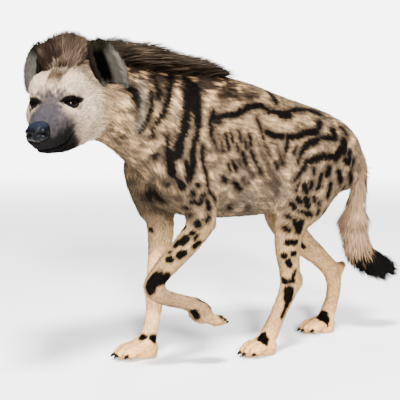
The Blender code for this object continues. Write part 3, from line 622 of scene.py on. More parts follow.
# The dark marks of the left side are strokes, drawn over the camera's view of the solids.
# A stroke is x, y to x, y in pixels of that view, half its width in pixels, and its strength up to 1.
VIEW_TURN = 59.0
VIEW_RISE = 5.2
VIEW_DISTANCE = 3.0
VIEW_TARGET = Vector((0, -0.161, 0.454)) + SHIFT
VIEW_MIDDLE = 200
VIEW_LENS = 1059
# Most strokes are marks of the coat; the chest stroke and two strokes of the near hind leg are painted shade.
STROKES = (
    # Throat and side of the neck
    (128, 88, 137, 91, 3, 1), (137, 91, 138, 104, 2.6, 1), (133, 92, 134, 98, 3, 0.8),
    (136, 104, 137, 118, 1.4, 0.6), (151, 92, 151, 105, 2.6, 1), (151, 105, 147, 120, 1.9, 1),
    (145, 122, 140, 131, 1.6, 1),
    # Neck and shoulder
    (153, 77, 158, 88, 2.4, 0.8), (158, 88, 157, 97, 3, 0.9), (169, 72, 169, 90, 3, 0.9),
    (169, 90, 165, 106, 2.6, 1), (165, 106, 162, 116, 3, 1), (162, 117, 156, 121, 2.6, 1),
    (153, 127, 153, 136, 1.7, 0.9), (155, 156, 157, 154, 2.5, 0.8), (188, 82, 187, 104, 5, 1),
    (194, 86, 196, 108, 5.5, 1), (187, 104, 185, 128, 4, 1), (197, 108, 198, 124, 4, 1),
    (198, 124, 196, 138, 2.7, 1), (196, 138, 193, 150, 3.2, 1), (193, 150, 194, 163, 3.4, 1),
    (194, 163, 191, 178, 3, 1), (187, 161, 190, 172, 2.6, 1), (186, 128, 183, 136, 3.4, 1),
    (181, 136, 178, 154, 4.5, 1), (168, 136, 168, 150, 2, 1), (169, 150, 171, 160, 3, 1),
    (171, 160, 174, 174, 3.2, 1), (177, 154, 170, 160, 3, 1), (174, 174, 180, 180, 2, 0.9),
    (181, 182, 184, 187, 3.4, 1), (188, 178, 189, 184, 1.6, 1), (202, 146, 203, 158, 2.2, 1),
    (203, 158, 207, 174, 1.8, 1), (207, 174, 210, 190, 1.8, 1), (210, 190, 217, 200, 1.7, 1),
    # Upper arm and elbow
    (168, 184, 169, 185, 3, 0.9), (199, 184, 199, 185, 2.6, 1), (194, 192, 194, 194, 2.7, 1),
    (204, 195, 206, 194, 2.1, 1), (193, 202, 203, 203, 2.3, 1), (203, 199, 202, 203, 2.3, 1),
    (185, 208, 190, 208, 2.2, 1), (209, 202, 210, 207, 3, 1), (179, 197, 180, 199, 1.6, 0.8),
    (188, 217, 194, 214, 1.8, 1), (199, 223, 200, 224, 3.4, 1), (210, 217, 209, 220, 2.5, 1),
    (181, 226, 182, 226, 1.9, 1), (194, 231, 192, 232, 1.9, 1), (186, 237, 182, 241, 3, 1),
    (175, 243, 177, 241, 2.1, 1), (199, 234, 196, 239, 1.1, 0.7), (198, 245, 201, 243, 1.9, 1),
    # Chest: painted shade, a dark line where the near shoulder meets the far foreleg
    (150, 188, 163, 203, 2.6, 0.7),
    # Ridge of the back
    (213, 111, 210, 120, 3, 1), (212, 118, 225, 115, 3, 1), (225, 115, 240, 113, 2.8, 1),
    (240, 112, 250, 106, 3, 1), (250, 106, 262, 105, 3, 1), (262, 106, 270, 111, 2.3, 1),
    (270, 111, 282, 112, 2.3, 1), (282, 114, 290, 114, 4.3, 1), (290, 111, 300, 109, 2.3, 1),
    (300, 109, 312, 109, 2, 1), (312, 110, 322, 114, 2.7, 1), (210, 120, 211, 134, 2.4, 1),
    (211, 134, 217, 147, 1.3, 1), (217, 147, 221, 157, 1, 0.8), (215, 122, 222, 122, 2, 0.7),
    (221, 92, 235, 93, 3.77, 0.4), (232, 90, 236, 95, 3, 0.4), (250, 97, 259, 96, 1.4, 0.6),
    (272, 93, 277, 102, 3, 0.8), (275, 95, 300, 99, 1.6, 0.8),
    # Upper flank
    (257, 118, 262, 130, 1.9, 0.7), (262, 130, 264, 138, 2, 0.6), (267, 131, 275, 135, 3, 1),
    (275, 135, 284, 136, 2.7, 1), (289, 137, 300, 136, 2.8, 1), (300, 135, 310, 131, 3, 1),
    (310, 132, 318, 131, 3.6, 1), (318, 130, 321, 122, 2.8, 1), (289, 137, 287, 150, 2, 0.9),
    (287, 150, 285, 157, 1.2, 0.8),
    # Flank
    (222, 142, 224, 152, 1.3, 0.9), (243, 152, 247, 164, 2, 1), (252, 152, 256, 162, 1.6, 0.8),
    (256, 162, 262, 172, 2, 0.6), (262, 172, 268, 182, 1.2, 0.5), (229, 164, 231, 170, 1.8, 1),
    (234, 162, 237, 169, 2, 1), (240, 160, 241, 165, 1, 0.8), (249, 168, 254, 177, 1, 0.6),
    (223, 177, 227, 181, 2, 0.8), (234, 182, 238, 186, 2.2, 1), (236, 184, 241, 189, 2, 1),
    (243, 180, 248, 183, 1.2, 0.6), (230, 206, 232, 209, 1.7, 0.9), (248, 206, 249, 209, 1, 0.5),
    (258, 140, 266, 160, 1, 0.5), (264, 142, 272, 158, 1.1, 0.6), (268, 160, 272, 175, 1, 0.5),
    (272, 172, 280, 184, 1, 0.5), (276, 162, 278, 168, 1.8, 0.8), (281, 155, 284, 164, 1.6, 0.6),
    (279, 150, 282, 158, 1.2, 0.5), (270, 180, 278, 192, 0.9, 0.45),
    # Loin
    (318, 140, 308, 144, 3.4, 1), (308, 144, 302, 152, 3, 1), (302, 152, 299, 163, 2, 0.8),
    (297, 146, 295, 153, 1.7, 0.9),
    # Rump
    (322, 137, 330, 138, 2.1, 1), (334, 131, 336, 137, 3.4, 1), (330, 137, 336, 138, 2.4, 1),
    # Haunch
    (345, 141, 345, 150, 4.2, 1), (343, 148, 337, 157, 4, 1), (337, 155, 328, 156, 3, 1),
    (326, 155, 318, 158, 3.2, 1), (318, 158, 308, 162, 3, 1), (308, 162, 303, 170, 2.6, 1),
    (303, 170, 295, 180, 1.7, 1), (351, 152, 351, 162, 2.6, 1), (347, 160, 350, 162, 3, 1),
    (355, 160, 354, 166, 1.8, 1), (342, 126, 348, 134, 1.8, 0.8), (352, 172, 353, 182, 2.4, 1),
    # Thigh
    (331, 168, 329, 174, 3.2, 1), (341, 172, 343, 180, 3.2, 1), (315, 168, 316, 173, 1.7, 1),
    (324, 173, 320, 188, 2, 1), (314, 182, 313, 187, 2.3, 1), (306, 185, 308, 191, 3, 1),
    (333, 183, 330, 196, 2.3, 1), (346, 189, 344, 197, 2.4, 1), (301, 182, 299, 185, 1.5, 0.9),
    (298, 189, 298, 190, 1.6, 0.7), (316, 197, 317, 200, 1.9, 1), (321, 203, 321, 204, 1.7, 1),
    (308, 199, 310, 205, 3.1, 1), (301, 198, 302, 202, 2.7, 1), (338, 198, 336, 205, 2.3, 1),
    (294, 203, 296, 207, 2.7, 1), (284, 208, 290, 207, 1, 0.9), (300, 210, 301, 211, 1.3, 0.9),
    (308, 213, 313, 214, 2.5, 1), (304, 211, 308, 214, 1.7, 1), (321, 210, 320, 213, 1.9, 1),
    (328, 211, 324, 217, 2.1, 1), (291, 216, 293, 217, 2.7, 1), (297, 221, 300, 230, 2.9, 1),
    (303, 222, 301, 230, 3.5, 1), (288, 228, 290, 229, 2.7, 0.9),
    # Knee
    (288, 244, 288, 245, 2.5, 0.9), (293, 244, 297, 243, 2.5, 1), (294, 253, 296, 253, 2.1, 0.9),
    (283, 257, 284, 257, 2.1, 0.9), (288, 263, 290, 265, 2.2, 1),
    # Legs
    (196, 247, 201, 244, 2.1, 1), (181, 255, 185, 252.5, 3, 1), (169, 259, 171, 258, 2.7, 1),
    (169, 250, 170, 250, 1.1, 0.6), (151, 285, 158, 276, 4.5, 1), (158, 280, 168, 280, 5, 1),
    (160, 274, 162, 277, 3, 1), (150, 286, 153, 284, 3, 1), (168, 278, 170, 281, 4.2, 1),
    (188, 316, 195, 315, 2.6, 1), (194, 314, 196, 317, 2.6, 1), (201, 299, 206, 301, 1.5, 0.8),
    (206, 301, 210, 306, 1.3, 0.8), (218, 311, 222, 317, 1.6, 0.7), (142, 337, 144, 335, 3, 1),
    (153, 337, 156, 338, 2.4, 1), (283, 280, 284, 282, 2.4, 0.9), (291, 281, 293, 281, 2.3, 0.9),
    (289, 289, 289, 298, 4, 1), (289, 298, 288, 306, 2, 1), (288, 306, 283, 317, 1.2, 0.7),
    # The first two strokes of the next line are painted shade: the shadow along the tendon of the near hind leg,
    # carried over to the right one.
    (304, 248, 296, 272, 1.2, 0.8), (296, 272, 291, 282, 1.2, 0.8), (260, 329, 263, 339, 5.2, 1),
    (256, 334, 262, 336, 4, 1), (262, 340, 265, 342, 3, 1), (323, 315, 325, 319, 4.6, 1),
    (319, 318, 326, 321, 2.6, 1), (326, 322, 328, 325, 1.8, 1),
)
# More marks of the body in millimetres: from x, y, z to x, y, z, half width, strength in tenths
HATCH_MARKS = (
    (135, -157, 640, 137, -150, 603, 5.2, 9),
    (134, -141, 650, 137, -137, 622, 4.6, 9),
    (137, -125, 617, 138, -121, 598, 4.4, 7),
    (137, -118, 652, 139, -111, 622, 5, 8),
    (139, -99, 628, 141, -93, 604, 4.2, 8),
    (137, -84, 640, 140, -77, 612, 4.4, 8),
)
PALE_MARKS = (
    (102, -402, 776, 111, -401, 730, 8.0, 9),
    (111, -401, 730, 106, -412, 664, 7.0, 9),
)
LEG_NODES = {
    "foreleg": "forepaw", "fore_pastern": "forepaw", "forepaw": "forepaw",
    "shank": "hindpaw", "hind_pastern": "hindpaw", "hindpaw": "hindpaw",
}
# Strokes of the near foreleg that end above this height are marks of the body
ELBOW_HEIGHT = 0.40
# How far down a left leg, in millimetres, its marks are carried over to the right one
MIRRORED_TO = {"forepaw_left": 345, "hindpaw_left": 500}


def view_back(turn, rise):
    """The way from what is looked at toward the eye, by degrees about the hyena and above level."""
    a, e = math.radians(turn), math.radians(rise)
    return Vector((math.sin(a) * math.cos(e), -math.cos(a) * math.cos(e), math.sin(e)))


def leg_of(node):
    """The leg that a node of the solids belongs to, or None for a node of the body."""
    kind, _, side = node.rpartition("_")
    return f"{LEG_NODES[kind]}_{side}" if kind in LEG_NODES else None


class Drawing:
    """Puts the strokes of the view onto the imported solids."""

    def __init__(self):
        corners, faces, self.owners = [], [], []
        for name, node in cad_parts.items():
            if name.startswith("ear"):
                continue
            first = len(corners)
            corners += [v.co.copy() for v in node.data.vertices]
            faces += [[first + i for i in face.vertices] for face in node.data.polygons]
            self.owners += [name] * len(node.data.polygons)
        self.tree = BVHTree.FromPolygons(corners, faces)
        self.back = view_back(VIEW_TURN, VIEW_RISE)
        self.right = Vector((math.cos(math.radians(VIEW_TURN)), math.sin(math.radians(VIEW_TURN)), 0))
        self.up = self.back.cross(self.right)

    def hit(self, x, y):
        """Where a pixel falls on the solids, on which node and how far off, or None beside them."""
        way = self.right * (x - VIEW_MIDDLE) / VIEW_LENS + self.up * (VIEW_MIDDLE - y) / VIEW_LENS - self.back
        eye = VIEW_TARGET + self.back * VIEW_DISTANCE
        place, _, face, away = self.tree.ray_cast(eye, way.normalized())
        return None if place is None else (place - SHIFT, self.owners[face], away)

    def marks(self):
        """The strokes as marks, by the leg they are on, or under None for the body."""
        found = {None: list(HATCH_MARKS), **{name: [] for name in PAWS}}
        for x0, y0, x1, y1, half, strength in STROKES:
            ends = [end for end in (self.hit(x0, y0), self.hit(x1, y1)) if end]
            if not ends:
                continue
            (start, node, away), stop = ends[0], ends[-1][0]
            leg = leg_of(node)
            if leg == "forepaw_left" and min(start.z, stop.z) > ELBOW_HEIGHT:
                leg = None
            places = [round(c * 1000) for c in (*start, *stop)] if leg is None else on_leg(start, stop, leg)
            width = round(half / VIEW_LENS * away * 1000, 1)
            found[leg].append((*places, width, round(strength * 10)))
        return found


def on_leg(start, stop, leg):
    """Two places as millimetres along a leg and degrees round it, one after the other."""
    points = np.array([list(start), list(stop)])
    _, way, travel, foot = along_bone(points, leg)
    out = points - foot
    side, up = round_bone(way)
    turn = np.degrees(np.arctan2((out * up).sum(1), (out * side).sum(1)))
    return [int(round(value)) for pair in zip(travel * 1000, turn) for value in pair]


def round_bone(way):
    """The directions across a bone that runs that way, from which the turn round it is counted."""
    side = unit(np.array([1.0, 0, 0]) - way[:, :1] * way)
    return side, np.cross(side, way)


def middle_at(y):
    """Where the middle of the body is across, at that place along it: the neck turns to its left."""
    return np.interp(y, [-0.50, -0.42, -0.30], [0.034, 0.012, 0.0])


def box_round(places, low, high):
    """Yes for places inside that box, seen from the side."""
    return np.all((places[:, 1:] > low[1:]) & (places[:, 1:] < high[1:]), axis=1)


# How much wider than its stroke a mark of the body is, and how far its brown edge reaches out of it
BODY_MARK_GROWTH = 1.06
HALO = 0.012


def body_marks(points, wander, marks):
    """How strong marks of the trunk, neck and thighs are at each point, on both sides alike."""
    x, y, z = points.T
    middle = middle_at(y)
    right = x < middle
    back_a_little = np.where(y > 0.05, np.interp(z, [0.375, 0.455, 0.54], [0.11, 0.045, 0.0]), 0.0)
    side = np.stack([np.abs(x - middle), y - np.where(right, back_a_little, 0), z], 1)
    side = side + wander
    total = np.zeros(len(points))
    squash = np.array([0.35, 1, 1])
    for mark in marks:
        a, b = np.array(mark[:3]) / 1000, np.array(mark[3:6]) / 1000
        a[0] -= middle_at(a[1])
        b[0] -= middle_at(b[1])
        half = mark[6] / 1000 * BODY_MARK_GROWTH
        reach = half + HALO
        low, high = np.minimum(a, b) - reach, np.maximum(a, b) + reach
        near = np.flatnonzero(box_round(side, low, high))
        if not len(near):
            continue
        here = (side[near] - a) * squash
        step = (b - a) * squash
        share = np.clip(here @ step / max(step @ step, 1e-9), 0, 1)
        gap = np.linalg.norm(here - share[:, None] * step, axis=1)
        near_side = ease(side[near, 0], 0.015, 0.04) if a[0] > 0.05 else 1.0
        core = ease(gap, half + 0.003, half - 0.0025) * min(mark[7] / 9, 1)
        dark = np.maximum(core, 0.26 * ease(gap, reach, half + 0.002)) * near_side
        total[near] = np.maximum(total[near], dark)
    return total


def leg_marks(points, field, name, marks, wander, mirror):
    """The same for one leg, by how far along it and round it. A mirrored leg takes the left one's marks."""
    own = BONES[name][0]
    reference = BONES[name.replace("right", "left")][0] if mirror else own
    length = [np.linalg.norm(np.diff(line, axis=0), axis=1).sum() for line in (reference, own)]
    chosen = np.flatnonzero(field.share[name] > 0.3)
    total = np.zeros(len(points))
    if not len(chosen):
        return total
    travel = field.travel[name][chosen] * length[0] / length[1] + wander[chosen, 0]
    out = points[chosen] - field.foot[name][chosen]
    side, up = round_bone(field.ways[name][chosen])
    across = (out * side).sum(1) * (-1 if mirror else 1)
    turn = np.degrees(np.arctan2((out * up).sum(1), across))
    radius = np.linalg.norm(out, axis=1)
    for mark in marks:
        a, b = np.array([mark[0] / 1000, mark[1]]), np.array([mark[2] / 1000, mark[3]])
        half = mark[4] / 1000 * 1.15 + 0.0008
        arc = ((turn - a[1] + 180) % 360 - 180) * math.pi / 180 * radius
        step_arc = ((b[1] - a[1] + 180) % 360 - 180) * math.pi / 180 * radius
        here = travel - a[0]
        step = b[0] - a[0]
        share = np.clip((here * step + arc * step_arc) / np.maximum(step**2 + step_arc**2, 1e-9), 0, 1)
        gap = np.hypot(here - share * step, arc - share * step_arc)
        core = ease(gap, half + 0.0022, half - 0.0022) * min(mark[5] / 8, 1)
        total[chosen] = np.maximum(total[chosen], np.maximum(core, 0.2 * ease(gap, half + 0.006, half)))
    return total


# Colours of the coat as the picture shows them, in sRGB from 0 to 255. Some also hold painted shade, as said
# where they are laid.
COAT_COLOURS = {
    "fawn": (187, 170, 141), "belly and shade": (162, 146, 120), "back": (198, 181, 148), "shoulder": (172, 153, 122),
    "haunch": (166, 148, 120), "ridge": (84, 66, 50), "rump": (140, 118, 92), "pale hair": (226, 212, 186),
    "dark hair": (84, 64, 48), "brown hair": (92, 74, 58), "upper leg": (206, 190, 152),
    "lower leg": (216, 198, 158), "far elbow and shade": (128, 106, 80), "far foreleg": (230, 215, 184),
    "folded leg": (170, 152, 128),
    "paw": (234, 219, 182), "ruff": (206, 192, 164), "face": (212, 203, 189), "nape": (196, 178, 148),
    "forehead": (214, 200, 182), "crown": (84, 62, 44), "brow streak": (84, 58, 38), "bridge": (88, 85, 99),
    "muzzle": (112, 106, 112), "lip": (40, 37, 36), "chin": (20, 18, 16), "eye rim": (24, 20, 20),
    "under eye": (214, 204, 198), "mouth": (10, 8, 8), "tail": (200, 180, 144), "tail brush": (24, 21, 17),
    "toe shade": (52, 34, 24), "mark": (20, 14, 10), "pale mark": (158, 148, 132), "ear pit": (9, 7, 6),
}


class Paint:
    """The coat's colour at some points, laid on in layers."""

    def __init__(self, points, field):
        self.points = points
        self.field = field
        self.colour = np.tile(np.array(seen(COAT_COLOURS["fawn"])), (len(points), 1))
        self.on_head = ease(field.share["head"], 0.2, 0.7)

    def lay(self, mask, name, deep=False):
        """Covers what lies there by that share. A deep layer mixes as light does, so dark hair stays dark."""
        mask = np.clip(mask, 0, 1)[:, None]
        over = np.array(seen(COAT_COLOURS[name]))
        if deep:
            self.colour = np.exp(blend(np.log(self.colour), np.log(over), mask))
        else:
            self.colour = blend(self.colour, over, mask)

    def body(self):
        """Belly, back and haunch, with streaks of paler and darker hair."""
        y, z = self.points[:, 1], self.points[:, 2]
        legs = self.field.legs
        body = 1 - self.on_head
        # The darker grey belly is partly its own colour and partly painted shade under the body.
        self.lay(ease(z, 0.58, 0.44) * (1 - legs), "belly and shade")
        self.lay(ease(z, 0.58, 0.68) * body, "back")
        self.lay(ease(y, -0.18, -0.34) * body * 0.6, "shoulder")
        self.lay(ease(y, 0.10, 0.26) * ease(z, 0.40, 0.50) * 0.7, "haunch")
        top = ease(z - np.interp(y, [-0.5, -0.2, 0.1, 0.35], [0.79, 0.755, 0.70, 0.64]), -0.04, 0.02)
        self.lay(top * ease(y, 0.06, -0.12) * body, "ridge")
        self.lay(top * ease(y, -0.1, 0.1) * 0.4, "rump")
        broad = ripple(self.points * np.array([1, 0.45, 1.2]), 0.035, 71)
        streaks = broad + 0.8 * ripple(self.points * np.array([1, 0.5, 1.5]), 0.014, 72)
        self.lay(ease(streaks, 0.0, 1.6) * body * (0.3 + 0.5 * ease(z, 0.44, 0.56)), "pale hair")
        high = body * (1 - legs) * ease(z, 0.48, 0.62)
        self.lay(ease(streaks, -0.1, -1.6) * high * 0.5, "dark hair", deep=True)
        self.lay(ease(streaks, -0.1, -1.6) * body * 0.25, "brown hair", deep=True)

    def legs(self):
        """The legs, paler toward the paws."""
        z, share = self.points[:, 2], self.field.share
        self.lay(self.field.legs * ease(z, 0.46, 0.34), "upper leg")
        self.lay(self.field.legs * ease(z, 0.32, 0.16), "lower leg")
        # The dark brown high on the far foreleg is partly its own colour and partly painted shade under the
        # chest.
        self.lay(share["forepaw_right"] * ease(z, 0.33, 0.44), "far elbow and shade")
        self.lay(share["forepaw_right"] * ease(z, 0.34, 0.26), "far foreleg")
        folded = self.field.travel["forepaw_left"]
        folded = ease(folded, 0.39, 0.43) * ease(folded, 0.60, 0.56)
        self.lay(share["forepaw_left"] * folded * 0.6, "folded leg")
        self.lay(ease(z, 0.10, 0.03), "paw")

    def head(self):
        """Face, crown, muzzle and chin, in the head's own frame."""
        across, out, high = self.field.head[:, 0], -self.field.head[:, 1], self.field.head[:, 2]
        ruff = ease(self.field.share["head"], 0.02, 0.3) * (1 - self.on_head)
        self.lay(ruff * ease(self.points[:, 2], 0.80, 0.72) * 0.7, "ruff")
        self.lay(self.on_head, "face")
        self.lay(self.on_head * ease(-out, -0.06, 0.02) * 0.6, "nape")
        side = np.abs(across)
        forehead = ease(out, 0.05, 0.10) * ease(side, 0.05, 0.02) * ease(high, 0.06, 0.09)
        self.lay(self.on_head * forehead * 0.6, "forehead")
        ragged = 0.012 * ripple(self.points, 0.022, 61) + 0.006 * ripple(self.points, 0.008, 62)
        crown = ease(high + ragged, 0.098, 0.126) * ease(ragged - out, -0.09, -0.04)
        self.lay(self.on_head * crown * ease(side + ragged, 0.070, 0.040), "crown")
        spread = 0.006 + 0.30 * np.maximum(high - 0.056, 0)
        streak = ease(np.abs(across - 0.006) - spread, 0.006, -0.002) * ease(high, 0.056, 0.074)
        self.lay(self.on_head * streak * ease(-out, -0.14, -0.11) * 0.9, "brow streak")
        bridge = ease(out + ragged, 0.088, 0.125) * ease(side + ragged, 0.054, 0.026)
        self.lay(self.on_head * bridge * ease(high + ragged, 0.090, 0.058) * 0.92, "bridge")
        front = out - 0.58 * (high + 0.03) + 0.5 * ragged
        self.lay(self.on_head * ease(front, 0.112, 0.150) * 0.92, "muzzle")
        lip = ease(front, 0.116, 0.155) * ease(high + 0.5 * ragged, 0.022, -0.026)
        self.lay(self.on_head * lip * 0.94, "lip")
        self.lay(self.on_head * ease(out, 0.105, 0.145) * ease(high, -0.045, -0.066) * 0.9, "chin")

    def eyes_and_mouth(self):
        """Dark rims round the eyes, a pale patch under each, and the line of the closed mouth, darkened as
        painted shade in the crease between the lips.
        """
        head = self.field.head
        for side in SIDES.values():
            off = head - np.array(eye_centre(side))
            near = np.flatnonzero(np.linalg.norm(off, axis=1) < 0.045)
            rim = np.zeros(len(head))
            rim[near] = ease(distance_to(self.points[near], eye_rim(side)), 0.0105, 0.0060)
            self.lay(rim, "eye rim")
            patch = (off - np.array([0.006 * side, -0.010, -0.028])) * np.array([0.6, 1, 1.5])
            under = ease(np.linalg.norm(patch, axis=1), 0.022, 0.008)
            self.lay(self.on_head * under * 0.7, "under eye")
        # The near-black mouth line is painted shade in the crease where the lips meet, over the lips' own dark
        # colour.
        near = np.flatnonzero((self.field.share["head"] > 0.4) & (head[:, 2] < 0.0))
        line = np.zeros(len(head))
        line[near] = ease(distance_to(self.points[near], STORE["mouth"]), 0.006, 0.0025)
        self.lay(line, "mouth")

    def tail_and_toes(self):
        tail = self.field.share["tail"]
        self.lay(tail * 0.7, "tail")
        self.lay(ease(tail, 0.3, 0.6) * ease(self.field.travel["tail"], 0.34, 0.37), "tail brush")
        # Painted shade in the folds between the toes.
        self.lay(toe_shade(self.points), "toe shade", deep=True)

    def marks(self):
        """The dark marks, and a few strokes of painted shade drawn with them. A right leg takes the left one's
        as far as its paw, and has some of its own.
        """
        points, field, drawn = self.points, self.field, STORE["marks"]
        wander = np.stack([ripple(points, 0.020, seed) for seed in (51, 52, 53)], 1) * 0.0022
        off_head = ease(field.share["head"], 0.92, 0.70)
        marks = body_marks(points, wander, drawn[None]) * off_head
        for name in PAWS:
            left = name.replace("right", "left")
            if name == left:
                marks = np.maximum(marks, leg_marks(points, field, name, drawn[name], wander, False))
            else:
                shared = [mark for mark in drawn[left] if mark[0] < MIRRORED_TO[left]]
                marks = np.maximum(marks, leg_marks(points, field, name, shared, wander, True))
                marks = np.maximum(marks, leg_marks(points, field, name, drawn[name], wander, False))
        self.lay(marks * 1.02, "mark", deep=True)
        self.lay(body_marks(points, wander, PALE_MARKS) * off_head * 0.85, "pale mark")
        self.lay(in_ear(points), "ear pit")


def paint(points, field):
    """The coat's colour at each point, the same for skin and tufts."""
    coat = Paint(points, field)
    coat.body()
    coat.legs()
    coat.head()
    coat.eyes_and_mouth()
    coat.tail_and_toes()
    coat.marks()
    return coat.colour


def toe_shade(points):
    """Painted shade where the skin folds in between two toes."""
    found = np.zeros(len(points))
    for name in PAWS:
        across, along, high = moved_by(paw_matrix(name).inverted(), points).T
        near = (np.abs(across) < 0.045) & (along < 0.0) & (along > -0.09) & (np.abs(high - 0.02) < 0.03)
        gaps = np.array([np.abs(across - x) / radius for x, _, radius in TOES]).min(0)
        found = np.maximum(found, near * ease(gaps, 0.55, 0.9) * (np.abs(across) < 0.03))
    return found * 0.8


def tone(points):
    """How much paler or darker than its colour the coat is there."""
    return 1 + 0.12 * ripple(points, 0.05, 3) + 0.10 * ripple(points, 0.013, 4)


# The skin


def skin_forms():
    flesh = Flesh()
    flesh.limb([(0, y, (top + low) / 2, width, (top - low) / 2) for y, top, low, width in TRUNK], sides=48)
    flesh.limb(NECK, sides=40)
    flesh.limb(TAIL, sides=24)
    for side in SIDES.values():
        flesh.lump((side * 0.068, -0.235, 0.650), (0.060, 0.115, 0.160), (14, 0, side * -4))
        flesh.lump((side * 0.084, -0.235, 0.520), (0.052, 0.085, 0.120), (24, 0, 0))
        flesh.lump((side * 0.066, 0.240, 0.575), (0.064, 0.140, 0.125), (-20, 0, 0))
        flesh.lump((side * 0.052, 0.320, 0.545), (0.056, 0.070, 0.100), (0, 0, 0))
    for name in PAWS:
        flesh.limb(PAWS[name][4])
        paw_forms(flesh, paw_matrix(name))
    flesh.lump((0.085, 0.124, 0.208), (0.020, 0.020, 0.034), (-20, 0, 0))
    flesh.lump((-0.084, 0.412, 0.206), (0.020, 0.022, 0.032), (-45, 0, 0))
    skull_forms(flesh)
    return flesh


def paw_forms(flesh, place):
    flesh.lump((0, 0.014, 0.030), (0.036, 0.042, 0.032), place=place)
    flesh.lump((0, 0.020, 0.012), (0.030, 0.034, 0.017), place=place)
    for x, y, radius in TOES:
        toe = [
            (x * 0.75, y + 0.045, 0.032, radius, radius),
            (x * 0.95, y + 0.016, 0.031, radius * 1.12, radius * 1.15),
            (x, y - 0.004, 0.019, radius, radius * 1.1),
        ]
        flesh.limb(toe, place=place, sides=20, between=4)


def skull_forms(flesh):
    flesh.lump((0, -0.020, 0.050), (0.088, 0.105, 0.080), place=HEAD)
    flesh.lump((0, -0.085, 0.054), (0.062, 0.060, 0.056), place=HEAD)
    flesh.limb(MUZZLE, place=HEAD)
    flesh.limb(JAW, place=HEAD)
    for side in SIDES.values():
        flesh.lump((side * 0.048, -0.064, 0.002), (0.050, 0.078, 0.060), place=HEAD)
        flesh.lump((side * 0.046, -0.010, -0.026), (0.052, 0.080, 0.058), place=HEAD)
        flesh.lump((side * 0.040, -0.072, 0.066), (0.040, 0.060, 0.046), place=HEAD)
        flesh.lump((side * 0.038, -0.116, 0.058), (0.028, 0.028, 0.020), place=HEAD)
        flesh.lump((side * 0.022, -0.212, -0.020), (0.026, 0.036, 0.025), place=HEAD)
        flesh.lump((side * 0.070, 0.016, 0.056), (0.034, 0.040, 0.042), place=HEAD)
        flesh.lump((side * 0.066, -0.020, 0.030), (0.036, 0.060, 0.044), place=HEAD)
        flesh.lump((side * 0.030, -0.122, 0.010), (0.036, 0.056, 0.036), place=HEAD)
        flesh.lump(eye_centre(side), (0.025, 0.025, 0.025), place=HEAD)


def coat_depth(points, field):
    """How far the skin lies inside the solids: most on the body, least on the face, paws and tail."""
    depth = np.full(len(points), 0.008)
    depth = blend(depth, 0.0045, field.legs * ease(points[:, 2], 0.40, 0.25))
    depth = blend(depth, 0.004, field.share["head"])
    depth = blend(depth, 0.0022, ease(-field.head[:, 1], 0.06, 0.12) * ease(field.share["head"], 0.2, 0.5))
    depth = blend(depth, 0.003, ease(points[:, 2], 0.10, 0.05))
    return depth * (1 - 0.9 * field.share["tail"])


def settle(points, edges):
    """Smooths the fused forms into one body: most on the trunk, least on the feet."""
    y, z = points[:, 1], points[:, 2]
    head = in_head(points)
    on_head = (head[:, 1] < 0.06) & (np.abs(head[:, 0]) < 0.14) & (z > 0.5)
    paws = np.zeros(len(points), bool)
    for name in PAWS:
        across, along, high = moved_by(paw_matrix(name).inverted(), points).T
        paws |= (np.abs(across) < 0.06) & (along < 0.06) & (along > -0.09) & (high < 0.07) & (high > -0.02)
    weight = np.where(paws, 0.10, np.where(on_head, 0.45, 1.0))
    weight = relaxed(weight[:, None], edges, 30, 1.0)[:, 0]
    points = relaxed(points, edges, 46, weight)
    trunk = ease(z, 0.39, 0.44) * ease(y, -0.47, -0.42)
    return relaxed(points, edges, 260, trunk)


def mouth_path(data):
    """The line where the lips meet, on the skin: along one side, round the front and back along the other."""
    rays = [((0, -y, z), (1, 0, 0)) for y, z in MOUTH[:3]]
    for angle in range(75, -76, -10):
        turn = math.radians(angle)
        rays.append(((0, -MOUTH[3][0], MOUTH[3][1]), (math.sin(turn), -math.cos(turn), 0)))
    rays += [((0, -y, z), (-1, 0, 0)) for y, z in reversed(MOUTH[:3])]
    tree = BVHTree.FromPolygons([v.co for v in data.vertices], [p.vertices for p in data.polygons])
    hits = [tree.ray_cast(HEAD @ Vector(start), HEAD.to_3x3() @ Vector(way))[0] for start, way in rays]
    rows = [hit for hit in hits if hit is not None]
    steps = range(len(rows) - 1)
    return np.array([smooth_between(rows, step, part / 4) for step in steps for part in range(4)])


def distance_to(points, path):
    """How far each point is from a line of points, and from which of them."""
    best = np.full(len(points), 1e9)
    for a, b in zip(path, path[1:]):
        step = b - a
        share = np.clip(((points - a) @ step) / max(step @ step, 1e-12), 0, 1)
        gap = np.linalg.norm(points - a - share[:, None] * step, axis=1)
        best = np.minimum(best, gap)
    return best


SKIN_VOXEL = 0.0042
# Depth and breadth of the fold where the lips meet, and of the swelling beside it
LIP_FOLD = (0.0042, 0.0026)
LIP_SWELL = (0.0010, 0.007, 0.0035)


def build_skin():
    """The skin over the whole body, and the line of its mouth."""
    body = skin_forms().fused("skin", SKIN_VOXEL)
    data = body.data
    points = settle(points_of(data), edges_of(data))
    put_points(data, points)
    points = points - normals_of(data) * coat_depth(points, Field(points))[:, None]
    put_points(data, points)
    mouth = mouth_path(data)
    gap = distance_to(points, mouth)
    fold = -LIP_FOLD[0] * np.exp(-((gap / LIP_FOLD[1]) ** 2))
    swell = LIP_SWELL[0] * np.exp(-(((gap - LIP_SWELL[1]) / LIP_SWELL[2]) ** 2))
    push = np.where(gap < 0.02, fold + swell, 0.0)
    points = points + normals_of(data) * push[:, None]
    for side in SIDES.values():
        points = eye_pit(points, side)
    for side in SIDES.values():
        points = ear_pit(points, side)
    points[:, 2] = np.maximum(points[:, 2], 0.0008)
    put_points(data, points)
    rounded(data)
    return body, mouth


